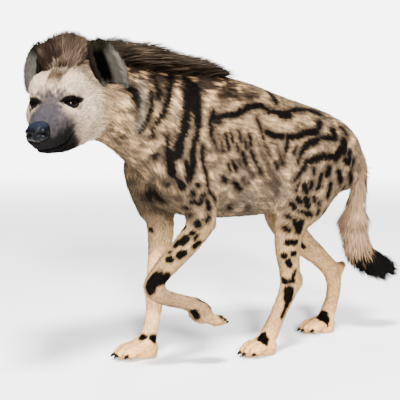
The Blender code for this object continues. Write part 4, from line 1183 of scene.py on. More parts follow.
def eye_pit(points, side):
    """Stands the skin back behind an eyeball, deepest where the eye looks out."""
    centre = np.array(HEAD @ eye_centre(side))
    away = points - centre
    reach = np.linalg.norm(away, axis=1)
    inside = reach < EYE_RADIUS + 0.004
    ahead = unit(away) @ np.array(HEAD.to_3x3() @ eye_gaze(side)) > 0.35
    wanted = np.where(ahead, EYE_RADIUS - 0.006, np.maximum(reach, EYE_RADIUS + 0.001))
    moved = points.copy()
    moved[inside] = (centre + unit(away) * wanted[:, None])[inside]
    return moved


def eye_gaze(side):
    turn = math.radians(EYE_TURN)
    return Vector((side * math.sin(turn), -math.cos(turn), -0.15)).normalized()


def eye_place(side):
    """The frame of an eye: X along its opening, Y up, Z the way it looks."""
    slant = Matrix.Rotation(math.radians(side * -8), 4, "Z")
    return HEAD @ Matrix.Translation(eye_centre(side)) @ facing(eye_gaze(side)) @ slant


def eye_rim(side, scale=1.15, stand=0.001, corners=24):
    """The line round an eye's opening, on the ball: wider than 1.0 goes out over the lids."""
    line = []
    for corner in range(corners + 1):
        angle = 2 * math.pi * corner / corners
        c, s = math.cos(angle), math.sin(angle)
        tall = 0.0160 if s > 0 else 0.0142
        x, y = 0.0236 * c * (0.55 + 0.45 * scale), tall * s * scale * (1 - 0.30 * abs(c) ** 3)
        radius = EYE_RADIUS + stand
        depth = math.sqrt(max(radius**2 - min(math.hypot(x, y), radius * 0.995) ** 2, 0))
        line.append(eye_place(side) @ Vector((x, y, depth)))
    return np.array([list(p) for p in line])


def ear_place(side):
    """The frame of an ear: X across it, -Y the way it opens, Z up to its tip."""
    place = HEAD @ Matrix.Diagonal((side, 1, 1, 1)) @ Matrix.Translation(EAR_ROOT)
    return place @ Euler([math.radians(t) for t in EAR_TURN]).to_matrix().to_4x4()


def ear_back(x, z, width, height):
    """How far back the sheet of the ear lies there, in the ear's frame, and its half width."""
    rise = np.clip(z / height, 0, 1)
    reach = np.sqrt(np.maximum(1 - ((rise - 0.40) / 0.62) ** 2, 0))
    half = np.maximum(width / 2 * reach, 1e-4)
    u = np.clip((x + EAR_LEAN * rise) / half, -1.2, 1.2)
    return -EAR_CUP * (u * u * reach - 0.9 * (1 - u * u) * (1 - rise)), u


def in_ear_frame(points, side):
    """The points in an ear's frame, how far back its sheet is there, and how far across it from -1 to 1."""
    local = moved_by(ear_place(side).inverted(), points)
    sheet, u = ear_back(local[:, 0], local[:, 2], *EAR_SIZE)
    return local, sheet, u


def ear_pit(points, side):
    """Hollows the skin in front of the ear's sheet, so that its cup is open."""
    local, sheet, u = in_ear_frame(points, side)
    low, high = local[:, 2] > 0.004, local[:, 2] < 0.122
    inside = (np.abs(u) < 0.97) & low & high & (local[:, 1] < sheet + 0.003) & (local[:, 1] > -0.075)
    depth = ease(np.abs(u), 0.97, 0.72) * ease(local[:, 2], 0.004, 0.022)
    moved = local.copy()
    moved[inside, 1] += ((sheet - local[:, 1] + 0.005) * depth)[inside]
    return moved_by(ear_place(side), moved)


def in_ear(points):
    """Yes for points in front of an ear's sheet, where no body hair grows."""
    found = np.zeros(len(points), bool)
    for side in SIDES.values():
        local, sheet, u = in_ear_frame(points, side)
        high = (local[:, 2] > 0.014) & (local[:, 2] < 0.128)
        found |= (np.abs(u) < 0.93) & high & (local[:, 1] < sheet + 0.008) & (local[:, 1] > -0.080)
    return found


def in_eye(points):
    """Yes for points in front of an eye's opening."""
    found = np.zeros(len(points), bool)
    for side in SIDES.values():
        across, high, out = moved_by(eye_place(side).inverted(), points).T
        oval = (across / 0.0240) ** 2 + (high / np.where(high > 0, 0.0165, 0.0148)) ** 2
        found |= (oval < 1) & (out > 0) & (out < 0.05)
    return found


def clear_of(root, lie, up, length, lift):
    """Yes for tufts that don't reach over the opening of an ear or an eye."""
    way = lie * np.cos(0.7 * lift)[:, None] + up * np.sin(0.7 * lift)[:, None]
    over = in_ear(root) | in_eye(root)
    for reach in (0.35, 0.7, 1.0):
        tip = root + way * (length * reach)[:, None]
        over |= in_ear(tip) | in_eye(tip)
    return ~over


def colour_points(data, colours):
    layer = data.attributes.new(MARKINGS, "FLOAT_COLOR", "POINT")
    flat = np.ones((len(data.vertices), 4), np.float32)
    flat[:, :3] = colours
    layer.data.foreach_set("color", flat.ravel())


# Tufts


def triangles_of(data):
    data.calc_loop_triangles()
    return read(data.loop_triangles, "vertices", 3, np.int32)


class Ground:
    """A surface that tufts grow from."""

    def __init__(self, data):
        self.points = points_of(data)
        self.normals = normals_of(data)
        self.triangles = triangles_of(data)
        a, b, c = (self.points[self.triangles[:, i]] for i in range(3))
        self.area = np.linalg.norm(np.cross(b - a, c - a), axis=1) / 2

    def at(self, values, triangle, weights):
        corners = values[self.triangles[triangle]]
        if corners.ndim == 2:
            return (corners * weights).sum(1)
        return (corners * weights[:, :, None]).sum(1)

    def roots(self, density, count):
        """That many evenly spread places, thicker where density is greater."""
        share = self.area * density[self.triangles].mean(1)
        total = np.cumsum(share)
        steps = (np.arange(count) + RNG.random(count)) / count * total[-1]
        triangle = np.minimum(np.searchsorted(total, steps), len(total) - 1)
        u, v = RNG.random(count), RNG.random(count)
        flip = u + v > 1
        u[flip], v[flip] = 1 - u[flip], 1 - v[flip]
        return triangle, np.stack([1 - u - v, u, v], 1)

    def planted(self, density, count):
        """That many roots, the way out of the surface there, and the triangles and weights to find values."""
        spots = self.roots(density, count)
        return self.at(self.points, *spots), unit(self.at(self.normals, *spots)), spots


# Half the breadth of a tuft's patch in the UV map
PATCH = 0.0014


class Tufts:
    """Tufts about to be made: where each roots and lies, its measures, colour and patch of the UV map."""

    def __init__(self, **values):
        self.values = values

    def chosen(self, which):
        return Tufts(**{name: value[which] for name, value in self.values.items()})

    def mesh(self, name, steps=2, droop=0.75, root_shade_and_tip=(0.50, 1.35)):
        """Flat tapered blades as one object, in that many steps, darker at the root as painted shade deep in the
        coat and paler at the tip.
        """
        names = ("root", "lie", "up", "length", "width", "lift", "colour", "patch")
        root, lie, up, length, width, lift, colour, patch = (self.values[name] for name in names)
        count = len(root)
        across = flattened(unit(np.cross(up, lie) + 0.35 * RNG.normal(size=(count, 3)) * 0.5), lie)
        rows = []
        centre = root - up * 0.0010
        angle = lift.copy()
        for step in range(steps):
            breadth = width * (1 - 0.25 * step / steps) / 2
            rows.append(centre - across * breadth[:, None])
            rows.append(centre + across * breadth[:, None])
            way = lie * np.cos(angle)[:, None] + up * np.sin(angle)[:, None]
            centre = centre + way * (length / steps)[:, None]
            angle = angle * (1 - droop) if steps == 2 else angle - lift * droop / steps
        rows.append(centre)
        points = np.stack(rows, 1).reshape(-1, 3)
        points[:, 2] = np.maximum(points[:, 2], 0.0006)
        faces = self.faces(count, steps)
        # Painted shade: each blade is darker toward its root, deep in the coat, and paler toward its tip.
        shades = np.linspace(*root_shade_and_tip, steps + 1)
        shades = np.append(np.repeat(shades[:-1], 2), shades[-1])
        data = mesh_of(name, points, faces)
        colour_points(data, np.clip((colour[:, None, :] * shades[None, :, None]).reshape(-1, 3), 0, 1))
        per = len(rows)
        spread = np.zeros((per, 2))
        spread[:-1, 0] = np.tile([-PATCH, PATCH], steps)
        spread[:, 1] = np.linspace(-PATCH, PATCH, per)
        uv = (patch[:, None, :] + spread[None]).reshape(-1, 2)
        layer = data.uv_layers.new(name="OFBake")
        layer.data.foreach_set("uv", uv[faces.ravel()].astype(np.float32).ravel())
        return in_scene(name, data)

    @staticmethod
    def faces(count, steps):
        """The triangles of that many blades: two for each step, and one for the tip."""
        one = []
        for k in range(0, steps * 2 - 2, 2):
            one += [[k, k + 1, k + 3], [k, k + 3, k + 2]]
        tip = steps * 2
        one.append([tip - 2, tip - 1, tip])
        first = np.arange(count) * (tip + 1)
        return (first[:, None, None] + np.array(one)[None]).reshape(-1, 3)


def mesh_of(name, points, faces):
    """A mesh of triangles, softly shaded."""
    data = bpy.data.meshes.new(name)
    data.vertices.add(len(points))
    put_points(data, points)
    data.loops.add(faces.size)
    data.loops.foreach_set("vertex_index", faces.ravel().astype(np.int32))
    data.polygons.add(len(faces))
    data.polygons.foreach_set("loop_start", np.arange(0, faces.size, 3, dtype=np.int32))
    rounded(data)
    data.update(calc_edges=True)
    return data


def patches(points, field):
    """Where each root lies on an unwrap of the skin: a strip for each bone, angle across, distance along."""
    across = np.zeros(len(points))
    along = np.zeros(len(points))
    for index, name in enumerate(REGIONS):
        chosen = field.region == index
        line, _ = BONES[name]
        out = points[chosen] - field.foot[name][chosen]
        side = np.array([1.0, 0, 0])
        way = unit(line[-1] - line[0])
        side = unit(side - side @ way * way)
        up = np.cross(side, way)
        angle = np.arctan2(out @ up, out @ side) / (2 * math.pi) + 0.5
        total = np.linalg.norm(np.diff(line, axis=0), axis=1).sum()
        across[chosen] = (index + 0.04 + 0.92 * angle) / len(REGIONS)
        along[chosen] = 0.02 + 0.96 * field.travel[name][chosen] / total
    return np.stack([across, along], 1)


def finish_piece(body, look):
    """Moves a piece from the design's coordinates into the row frame, and gives it its finish."""
    body.data.transform(Matrix.Translation(SHIFT))
    body.data.update()
    body.data.materials.clear()
    body.data.materials.append(look.material)
    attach(body, "root")


# Materials


def coat_look():
    look = Look("coat", 0.78, Specular_IOR_Level=0.02)
    return look.marked(look.noise(240, 2.0) * 0.35 + 0.82)


def skin_look():
    look = Look("short_coat", 0.85, Specular_IOR_Level=0.0)
    strands = look.noise(420, 3.0, (1, 0.25, 0.6))
    look.bump(strands, 0.5, 0.002)
    return look.marked(strands * 0.5 + 0.55)


def ear_look():
    look = Look("ear_skin", 0.8, Specular_IOR_Level=0.0)
    grain = look.noise(180, 3.0)
    look.bump(grain, 0.3, 0.001)
    return look.marked(grain * 0.4 + 0.75)


def lid_look():
    look = Look("lid_skin", 0.7, Specular_IOR_Level=0.01)
    look.bump(look.noise(300, 2.0), 0.3, 0.0006)
    return look.marked()


def nose_look():
    look = Look("nose_leather", 0.42, Specular_IOR_Level=0.06)
    cells = look.node("TexVoronoi", {"feature": "DISTANCE_TO_EDGE"}, Vector=look.place(), Scale=420.0)
    mottle = look.noise(60, 2.0)
    look.set("Roughness", mottle * 0.25 + 0.24)
    look.bump(cells, 0.35, 0.0012)
    return look.marked(mottle * 0.8 + 0.6)


# Properties, operators and panel


def length(name, description, default):
    return FloatProperty(name=name, description=description, default=default, unit="LENGTH")


def number(name, description, default):
    return FloatProperty(name=name, description=description, default=default)


def tint(name, description, default):
    return FloatVectorProperty(name=name, description=description, default=default, subtype="COLOR")


def tufts_of(place, default):
    return IntProperty(name=place + " tufts", description="How many tufts it has", default=default, min=1000)


class HyenaCoat(bpy.types.PropertyGroup):
    body_tufts: tufts_of("Body", 330000)
    mane_tufts: tufts_of("Mane", 17000)
    crest_tufts: tufts_of("Crest", 15000)
    tail_tufts: tufts_of("Tail", 15000)
    tuft_width: length("Tuft width", "Width of a body tuft at its root", 0.0022)
    mane_length: length("Mane length", "Longest hair on the nape", 0.105)
    crest_length: length("Crest length", "Hair between the ears", 0.100)
    tail_length: length("Tail hair", "Hair of the tail and its brush", 0.082)


class HyenaFace(bpy.types.PropertyGroup):
    iris: tint("Iris", "Colour of the iris", seen((26, 15, 10)))
    ear_width: length("Ear width", "Widest part of an ear", EAR_SIZE[0])
    ear_height: length("Ear height", "Root to tip of an ear", EAR_SIZE[1])
    ear_tufts: tufts_of("Ear", 7000)


class HyenaStage(bpy.types.PropertyGroup):
    floor: tint("Floor", "Colour of the floor", (0.86, 0.86, 0.86))
    ambient: number("Soft light", "Strength of the light from all round", 0.15)
    backdrop: number("Backdrop", "Strength of the backdrop as it is seen", 6.6)
    distance: length("Camera distance", "Camera to the middle of the body", VIEW_DISTANCE)
    azimuth: number("Camera turn", "Degrees about the hyena", VIEW_TURN)
    height: number("Camera rise", "Degrees above level", VIEW_RISE)
    lens: number("Lens", "Focal length in mm on a 36 mm sensor", 95.3)


class HYENA_OT_skin(bpy.types.Operator):
    """One skin under the whole coat"""

    bl_idname = "hyena.skin"
    bl_label = "Skin"

    def execute(self, context):
        body, mouth = build_skin()
        data = body.data
        points, normals = points_of(data), normals_of(data)
        field = Field(points)
        way = flattened(relaxed(lie_of(field), edges_of(data), 25, 1.0), normals)
        STORE.update(mouth=mouth, ground=Ground(data), way=way, field=field, marks=Drawing().marks())
        colour_points(data, paint(points, field) * tone(points)[:, None])
        finish_piece(body, skin_look())
        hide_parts(*FLESH_NODES)
        return {"FINISHED"}


def lie_of(field):
    """The way the coat lies before it is smoothed: back along the bones, and down on the sides."""
    points = field.points
    way = field.way.copy()
    body = field.share["trunk"] + 0.8 * field.share["neck"]
    way[:, 2] -= body * (ease(np.abs(points[:, 0]), 0.02, 0.12) * 0.55 + 0.1)
    chest = ease(-points[:, 1], 0.30, 0.38) * ease(0.62 - points[:, 2], 0.0, 0.1) * field.share["trunk"]
    way[:, 2] -= chest * 0.9
    return unit(way)


# The pieces of the coat and the bones that each lies on
COAT_PIECES = {
    "body": ("trunk",),
    "neck": ("neck",),
    "head": ("head",),
    "tail": ("tail",),
    "forelegs": ("forepaw_left", "forepaw_right"),
    "hindlegs": ("hindpaw_left", "hindpaw_right"),
}
PIECE_TUFTS = 60000


class HYENA_OT_coat(bpy.types.Operator):
    """The body's tufts, in pieces of like region"""

    bl_idname = "hyena.coat"
    bl_label = "Coat"

    def execute(self, context):
        settings = context.scene.hyena_coat
        ground = STORE["ground"]
        count = int(settings.body_tufts * (1.0))
        root, up, spots = ground.planted(self.density(ground.points), count)
        lie = ground.at(STORE["way"], *spots)
        field = Field(root)
        sway = 0.14 * ripple(root, 0.055, 21) + 0.08 * ripple(root, 0.020, 22) + 0.10 * RNG.normal(size=count)
        lie = flattened(unit(lie + np.cross(up, lie) * sway[:, None]), up)
        length, width, lift = self.shape(root, field, settings)
        length *= 1 + 0.18 * RNG.normal(size=count).clip(-2, 2)
        lift = np.maximum(lift * (1 + 0.5 * ripple(root, 0.018, 23) + 0.25 * RNG.normal(size=count)), 0.06)
        middle = root + lie * (0.4 * length)[:, None]
        shade = tone(middle) * (1 + 0.32 * RNG.normal(size=count)).clip(0.3, 2.0)
        shade = shade * np.where(RNG.random(count) < 0.12, 0.5, 1.06)
        colour = paint(middle, Field(middle)) * shade[:, None]
        tufts = Tufts(
            root=root, lie=lie, up=up, length=length, width=width, lift=lift, colour=colour,
            patch=patches(root, field),
        )
        free = clear_of(root, lie, up, length, lift)
        STORE["coat_look"] = coat_look()
        for name, bones in COAT_PIECES.items():
            picked = np.flatnonzero(np.isin(field.region, [REGIONS.index(bone) for bone in bones]) & free)
            parts = math.ceil(len(picked) / PIECE_TUFTS)
            for index, share in enumerate(np.array_split(picked, parts)):
                piece = tufts.chosen(share).mesh(f"coat_{name}_{index + 1}")
                finish_piece(piece, STORE["coat_look"])
        return {"FINISHED"}

    @staticmethod
    def density(points):
        """Thicker on the face and low on the legs, none on eyes, lips, nose and soles or inside the ears."""
        field = STORE["field"]
        face = ease(-field.head[:, 1], 0.02, 0.10) * ease(field.share["head"], 0.3, 0.6)
        density = np.ones(len(points)) + 1.2 * face + 0.3 * ease(points[:, 2], 0.38, 0.2)
        for side in SIDES.values():
            centre = np.array(HEAD @ eye_centre(side))
            density[np.linalg.norm(points - centre, axis=1) < EYE_RADIUS + 0.0015] = 0
        density[distance_to(points, STORE["mouth"]) < 0.003] = 0
        nose = (field.head - np.array([0, -0.243, -0.003])) / np.array([0.034, 0.030, 0.026])
        density[np.linalg.norm(nose, axis=1) < 1] = 0
        density[points[:, 2] < 0.006] = 0
        density[in_ear(points)] = 0
        return density

    @staticmethod
    def shape(root, field, settings):
        """Length, width and lift of the tufts at these places."""
        legs = field.legs * ease(root[:, 2], 0.42, 0.30)
        head_share = ease(field.share["head"], 0.2, 0.7)
        face = ease(-field.head[:, 1], 0.03, 0.11) * head_share
        muzzle = ease(-field.head[:, 1], 0.14, 0.19) * head_share
        length = np.full(len(root), 0.015)
        length += 0.009 * field.share["neck"]
        for share, value in ((legs, 0.012), (head_share, 0.022), (face, 0.012), (muzzle, 0.006)):
            length = blend(length, value, share)
        length = blend(length, 0.010, ease(root[:, 2], 0.09, 0.05))
        length = length * (1 + 0.6 * field.share["tail"])
        width = settings.tuft_width * (0.42 + 0.58 * ease(length, 0.006, 0.024))
        lift = 0.26 + 0.10 * head_share + 0.04 * legs
        return length, width, lift


class HYENA_OT_mane(bpy.types.Operator):
    """Long hair of the nape, the back's ridge and the crest between the ears"""

    bl_idname = "hyena.mane"
    bl_label = "Mane and crest"

    def execute(self, context):
        settings = context.scene.hyena_coat
        self.mane(settings)
        self.crest(settings)
        return {"FINISHED"}

    @staticmethod
    def grow(name, density, count, shape, lie_at, droop, root_shade_and_tip):
        """One piece of long hair. shape and lie_at give its measures and its lie at the roots."""
        root, up, _ = STORE["ground"].planted(density, count)
        field = Field(root)
        lie = flattened(unit(lie_at(root, field)), up)
        length, width, lift, colour = shape(root, field)
        colour = colour * (1 + 0.30 * RNG.normal(size=count)).clip(0.35, 2.0)[:, None]
        tufts = Tufts(
            root=root, lie=lie, up=up, length=length, width=np.full(count, width), lift=lift, colour=colour,
            patch=patches(root, field),
        )
        piece = tufts.chosen(clear_of(root, lie, up, length, lift)).mesh(name, 4, droop, root_shade_and_tip)
        finish_piece(piece, STORE["coat_look"])

    def mane(self, settings):
        """Longest over the nape, shorter down to the shoulders."""
        x, y, z = STORE["ground"].points.T
        ridge = np.interp(y, [-0.5, -0.4, -0.3, -0.1, 0.1, 0.3], [0.80, 0.79, 0.78, 0.765, 0.72, 0.66])
        reach = np.interp(y, [-0.52, -0.40, -0.15, 0.05, 0.25], [0.055, 0.060, 0.050, 0.030, 0.018])
        density = ease(np.abs(x - middle_at(y)), reach, reach * 0.5) * ease(z - ridge, -0.02, 0.01)
        density = density * ease(y, -0.07, -0.25) * ease(y, -0.56, -0.50)

        def shape(root, field):
            y = root[:, 1]
            share = np.interp(y, [-0.50, -0.40, -0.28, -0.18, -0.08, 0.0], [0.80, 1.05, 1.0, 0.7, 0.42, 0.25])
            length = settings.mane_length * share * RNG.uniform(0.6, 1.08, len(root))
            lift = np.interp(y, [-0.5, -0.3, -0.15, 0.0, 0.1], [1.0, 1.0, 0.75, 0.42, 0.30])
            lift = lift * RNG.uniform(0.8, 1.15, len(root))
            dark, light = np.array(seen((54, 41, 30))), np.array(seen((158, 136, 108)))
            mix = (ease(ripple(root, 0.03, 31), -0.5, 0.9) * RNG.uniform(0.2, 1.0, len(root)))[:, None] * 0.75
            return length, 0.0027, lift, blend(dark, light, mix)

        def lie_at(root, field):
            way = np.tile([0.0, 1.0, 0.0], (len(root), 1))
            way[:, 0] = (root[:, 0] - middle_at(root[:, 1])) * 5 + 0.12 * RNG.normal(size=len(root))
            return way

        count = settings.mane_tufts
        self.grow("mane", density, count, shape, lie_at, 0.9, (0.8, 1.25))

    def crest(self, settings):
        """Upright between the ears, short over the forehead."""
        points = STORE["ground"].points
        across, along, high = in_head(points).T
        density = ease(np.abs(across + 0.004), 0.046, 0.020) * ease(high, 0.095, 0.112)
        front = 0.2 * ease(along, -0.080, -0.050)
        density *= front + 0.8 * ease(along, -0.052, -0.028) * ease(along, 0.12, 0.09)
        density[in_ear(points)] = 0

        def shape(root, field):
            across, along = field.head[:, 0], field.head[:, 1]
            places, shares = [-0.085, -0.06, -0.035, 0.0, 0.05, 0.11], [0.14, 0.42, 0.92, 0.95, 0.66, 0.55]
            share = np.interp(along, places, shares)
            ragged = RNG.uniform(0.5, 1.06, len(root))
            length = settings.crest_length * share * ragged
            length = length * np.interp(across, [-0.05, -0.01, 0.012, 0.040], [0.8, 1, 1, 0.62])
            lift = np.interp(along, [-0.085, -0.045, 0.0, 0.05], [0.45, 1.25, 1.25, 0.95])
            lift = lift * RNG.uniform(0.85, 1.10, len(root))
            dark, light = np.array(seen((50, 33, 21))), np.array(seen((156, 134, 108)))
            # Light and dark hair at random, and paler toward the crest's left half: painted light on the side
            # that faces the lamps.
            mix = ease(ripple(root, 0.02, 33) + across * 22, -0.5, 1.1) * RNG.uniform(0.3, 1.0, len(root))
            return length, 0.0019, lift, blend(dark, light, mix[:, None])

        def lie_at(root, field):
            across = field.head[:, 0] * 7 - 0.12 + 0.22 * RNG.normal(size=len(root))
            return out_of_head(np.stack([across, np.ones(len(root)), np.full(len(root), 0.2)], 1))

        count = settings.crest_tufts
        self.grow("crest", density, count, shape, lie_at, 0.7, (0.8, 1.2))


class HYENA_OT_tail(bpy.types.Operator):
    """Long hair down the tail, black at its brush"""

    bl_idname = "hyena.tail"
    bl_label = "Tail"

    def execute(self, context):
        settings = context.scene.hyena_coat
        skin_field = STORE["field"]
        density = ease(skin_field.share["tail"], 0.5, 0.8) * ease(skin_field.travel["tail"], 0.05, 0.12)
        count = settings.tail_tufts
        root, up, _ = STORE["ground"].planted(density, count)
        field = Field(root)
        lie = flattened(unit(field.way + 0.06 * RNG.normal(size=(count, 3))), up)
        travel = field.travel["tail"]
        length = settings.tail_length * np.interp(travel, [0.05, 0.15, 0.30, 0.42], [0.55, 0.85, 1.0, 1.15])
        length *= RNG.uniform(0.7, 1.08, count)
        lift = np.interp(travel, [0.05, 0.2, 0.5], [0.50, 0.74, 0.80]) * RNG.uniform(0.6, 1.15, count)
        cream, brown, dark = (np.array(seen(c)) for c in ((200, 182, 154), (138, 116, 90), (20, 18, 15)))
        colour = blend(cream, brown, ease(ripple(root, 0.025, 41), -0.2, 0.9)[:, None] * 0.5)
        brush = ease(travel + 0.010 * RNG.normal(size=count), 0.325, 0.350)[:, None]
        colour = blend(colour, dark, brush) * (1 + 0.12 * RNG.normal(size=count))[:, None]
        tufts = Tufts(
            root=root, lie=lie, up=up, length=length, width=np.full(count, 0.0036), lift=lift, colour=colour,
            patch=patches(root, field),
        )
        finish_piece(tufts.mesh("tail_hair", 4, 0.9), STORE["coat_look"])
        return {"FINISHED"}


def ear_sheet(side, settings, rows=30, columns=24):
    """The middle sheet of an ear: points by row, in the design's coordinates."""
    place = ear_place(side)
    grid = []
    for row in range(rows + 1):
        rise = row / rows * 0.995
        reach = math.sqrt(max(1 - ((rise - 0.40) / 0.62) ** 2, 0.0))
        half = settings.ear_width / 2 * reach
        line = []
        for column in range(columns + 1):
            u = 2 * column / columns - 1
            cup = EAR_CUP * (u * u * reach - 0.9 * (1 - u * u) * (1 - rise))
            point = place @ Vector((u * half - EAR_LEAN * rise, -cup, rise * settings.ear_height))
            line.append(list(point))
        grid.append(line)
    return np.array(grid)


class HYENA_OT_ears(bpy.types.Operator):
    """Both ears: a rounded cup, furred behind and along its rim"""

    bl_idname = "hyena.ears"
    bl_label = "Ears"

    def execute(self, context):
        for name, side in SIDES.items():
            self.ear("ear_" + name, side, context.scene.hyena_face)
        return {"FINISHED"}

    def ear(self, name, side, settings):
        """The cup of one ear, and its hair."""
        grid = ear_sheet(side, settings)
        columns = len(grid[0])
        cup = self.cup(name, grid)
        points, normals = points_of(cup.data), normals_of(cup.data)
        flat = grid.reshape(-1, 3)
        nearest = np.array([np.argmin(((flat - p) ** 2).sum(1)) for p in points])
        rise, across = nearest // columns / (len(grid) - 1), nearest % columns / (columns - 1) * 2 - 1
        front = unit(np.array(HEAD.to_3x3() @ Matrix.Diagonal((side, 1, 1)) @ Vector((0.55, -0.83, 0.1))))
        inner = normals @ front > 0
        colour_points(cup.data, ear_colours(inner, rise, across))
        hair = self.hair(name, side, grid, Ground(cup.data), inner, rise, across)
        finish_piece(cup, ear_look())
        finish_piece(hair, STORE["coat_look"])
        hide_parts(name)

    @staticmethod
    def cup(name, grid):
        """The sheet of an ear with its thickness."""
        mesh = bmesh.new()
        made = [[mesh.verts.new(p) for p in line] for line in grid]
        for low, high in zip(made, made[1:]):
            for a, b, c, d in zip(low, low[1:], high[1:], high):
                mesh.faces.new((a, b, c, d))
        cup = in_scene(name + "_cup", made_from(mesh, name + "_cup"))
        as_shell(cup, 0.0042, 0)
        mesh = bmesh.new()
        mesh.from_mesh(cup.data)
        bmesh.ops.recalc_face_normals(mesh, faces=mesh.faces)
        mesh.to_mesh(cup.data)
        mesh.free()
        rounded(cup.data)
        return cup

    @staticmethod
    def hair(name, side, grid, ground, inner, rise, across):
        """Short hair behind the ear, longer along the inside of its rim."""
        density = np.where(inner, 0.45 + 1.6 * ease(np.abs(across), 0.55, 0.9), 1.0)
        count = bpy.context.scene.hyena_face.ear_tufts
        root, up, spots = ground.planted(density, count)
        rise, across = ground.at(rise, *spots), ground.at(across, *spots)
        u = np.abs(across)
        inner = ground.at(inner.astype(float), *spots) > 0.5
        axis = unit(grid[-1].mean(0) - grid[0].mean(0))
        inward = unit(grid[:, grid.shape[1] // 2].mean(0) - root)
        lie = axis + 0.5 * inward * (ease(u, 0.6, 1.0) * inner)[:, None]
        lie = flattened(unit(lie + 0.18 * RNG.normal(size=(count, 3))), up)
        length = (0.010 + 0.010 * ease(u, 0.6, 1.0) * inner) * RNG.uniform(0.7, 1.1, count)
        lift = np.where(inner, 0.35, 0.22) * RNG.uniform(0.6, 1.3, count)
        colour = ear_colours(inner, rise, across) * (1 + 0.22 * RNG.normal(size=count))[:, None]
        # The left ear's patches lie in one strip of the map, the right one's in the next
        strip = 0.5 if side > 0 else 0.75
        over = u * np.where(inner, 1, -1) * 0.5 + 0.5
        patch = np.stack([strip + 0.02 + 0.2 * over, 0.02 + 0.9 * rise], 1)
        tufts = Tufts(
            root=root, lie=lie, up=up, length=length, width=np.full(count, 0.0017), lift=lift, colour=colour,
            patch=patch,
        )
        return tufts.mesh(name + "_hair")


def ear_colours(inner, rise, u):
    """Black in the pit, pale grey toward the outer rim, olive at the tip, brown behind."""
    tints = ((5, 4, 3), (158, 152, 140), (60, 54, 36), (92, 76, 58), (52, 46, 34))
    dark, grey, olive, back, brown = (np.array(seen(c)) for c in tints)
    edge = ease(rise, 0.74, 0.92)[:, None]
    inside = blend(dark, grey, (ease(u, 0.34, 0.66) * ease(rise, 0.92, 0.62))[:, None])
    inside = blend(inside, brown, (ease(u, -0.72, -0.92) * 0.7)[:, None])
    inside = blend(inside, grey, ease(rise, 0.22, 0.06)[:, None] * 0.5)
    inside = blend(inside, olive, edge)
    return np.where(np.asarray(inner)[:, None], inside, blend(back, olive, edge))


def facing(normal, side=Vector((1, 0, 0))):
    up = Vector(normal).normalized()
    across = (side - side.dot(up) * up).normalized()
    return Matrix((across, up.cross(across), up)).transposed().to_4x4()


# How far out the pupil, the bright part of the iris and its dark edge reach, as shares of the eye's radius
IRIS_SHARE = (0.40, 0.64, 0.74)
# Rings of a lid: how wide against the opening, and how far they stand off the ball
LID_RINGS = ((1.0, 0.0004), (1.0, 0.0016), (1.08, 0.0022), (1.20, 0.0018), (1.40, 0.0), (1.6, -0.004))
LID_COLOURS = ((10, 8, 8), (10, 8, 8), (10, 8, 8), (14, 11, 11), (24, 20, 20), (60, 52, 48))


class HYENA_OT_eyes(bpy.types.Operator):
    """Both eyes, with their dark lids"""

    bl_idname = "hyena.eyes"
    bl_label = "Eyes"

    def execute(self, context):
        glass = Look("eye_glass", 0.08, Specular_IOR_Level=0.06).marked()
        skin = lid_look()
        for name, side in SIDES.items():
            ball = self.ball("eye_" + name, side, context.scene.hyena_face.iris)
            finish_piece(ball, glass)
            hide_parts("eye_" + name)
            finish_piece(self.lids("eye_" + name, side), skin)
        return {"FINISHED"}

    @staticmethod
    def ball(name, side, iris):
        """The eyeball, with a slight bulge over its dark iris and its pupil."""
        mesh = bmesh.new()
        bmesh.ops.create_uvsphere(mesh, u_segments=64, v_segments=48, radius=EYE_RADIUS)
        colours = []
        for v in mesh.verts:
            off = math.hypot(v.co.x, v.co.y) / EYE_RADIUS
            if v.co.z > 0:
                v.co.z += EYE_RADIUS * 0.06 * max(0.0, 1 - (off / 0.55) ** 2)
            ray = 0.75 + 0.25 * math.sin(math.atan2(v.co.y, v.co.x) * 24)
            if v.co.z < 0 or off > IRIS_SHARE[2]:
                colours.append(seen((10, 8, 8)))
            elif off < IRIS_SHARE[0]:
                colours.append(seen((4, 3, 3)))
            else:
                colours.append(tuple(c * ray * (1.0 if off < IRIS_SHARE[1] else 0.35) for c in iris))
        mesh.transform(HEAD @ Matrix.Translation(eye_centre(side)) @ facing(eye_gaze(side)))
        data = rounded(made_from(mesh, name + "_ball"))
        colour_points(data, np.array(colours))
        return in_scene(name + "_ball", data)

    @staticmethod
    def lids(name, side, corners=64):
        """The lids as rings round the opening, from the edge that touches the ball out to the face."""
        mesh = bmesh.new()
        loops = []
        for scale, stand in LID_RINGS:
            loops.append([mesh.verts.new(p) for p in eye_rim(side, scale, stand, corners)[:-1]])
        for near, far in zip(loops, loops[1:]):
            for corner in range(corners):
                after = (corner + 1) % corners
                mesh.faces.new((near[corner], near[after], far[after], far[corner]))
        data = rounded(made_from(mesh, name + "_lids"))
        colour_points(data, np.repeat(np.array([seen(tint) for tint in LID_COLOURS]), corners, axis=0))
        lids = in_scene(name + "_lids", data)
        as_shell(lids, 0.0010, -1)
        return lids


# The line of the left nostril, in the head's frame
NOSTRIL = (
    (0.0120, -0.270, -0.003),
    (0.0180, -0.268, -0.003),
    (0.0260, -0.261, -0.004),
    (0.0330, -0.251, -0.007),
)


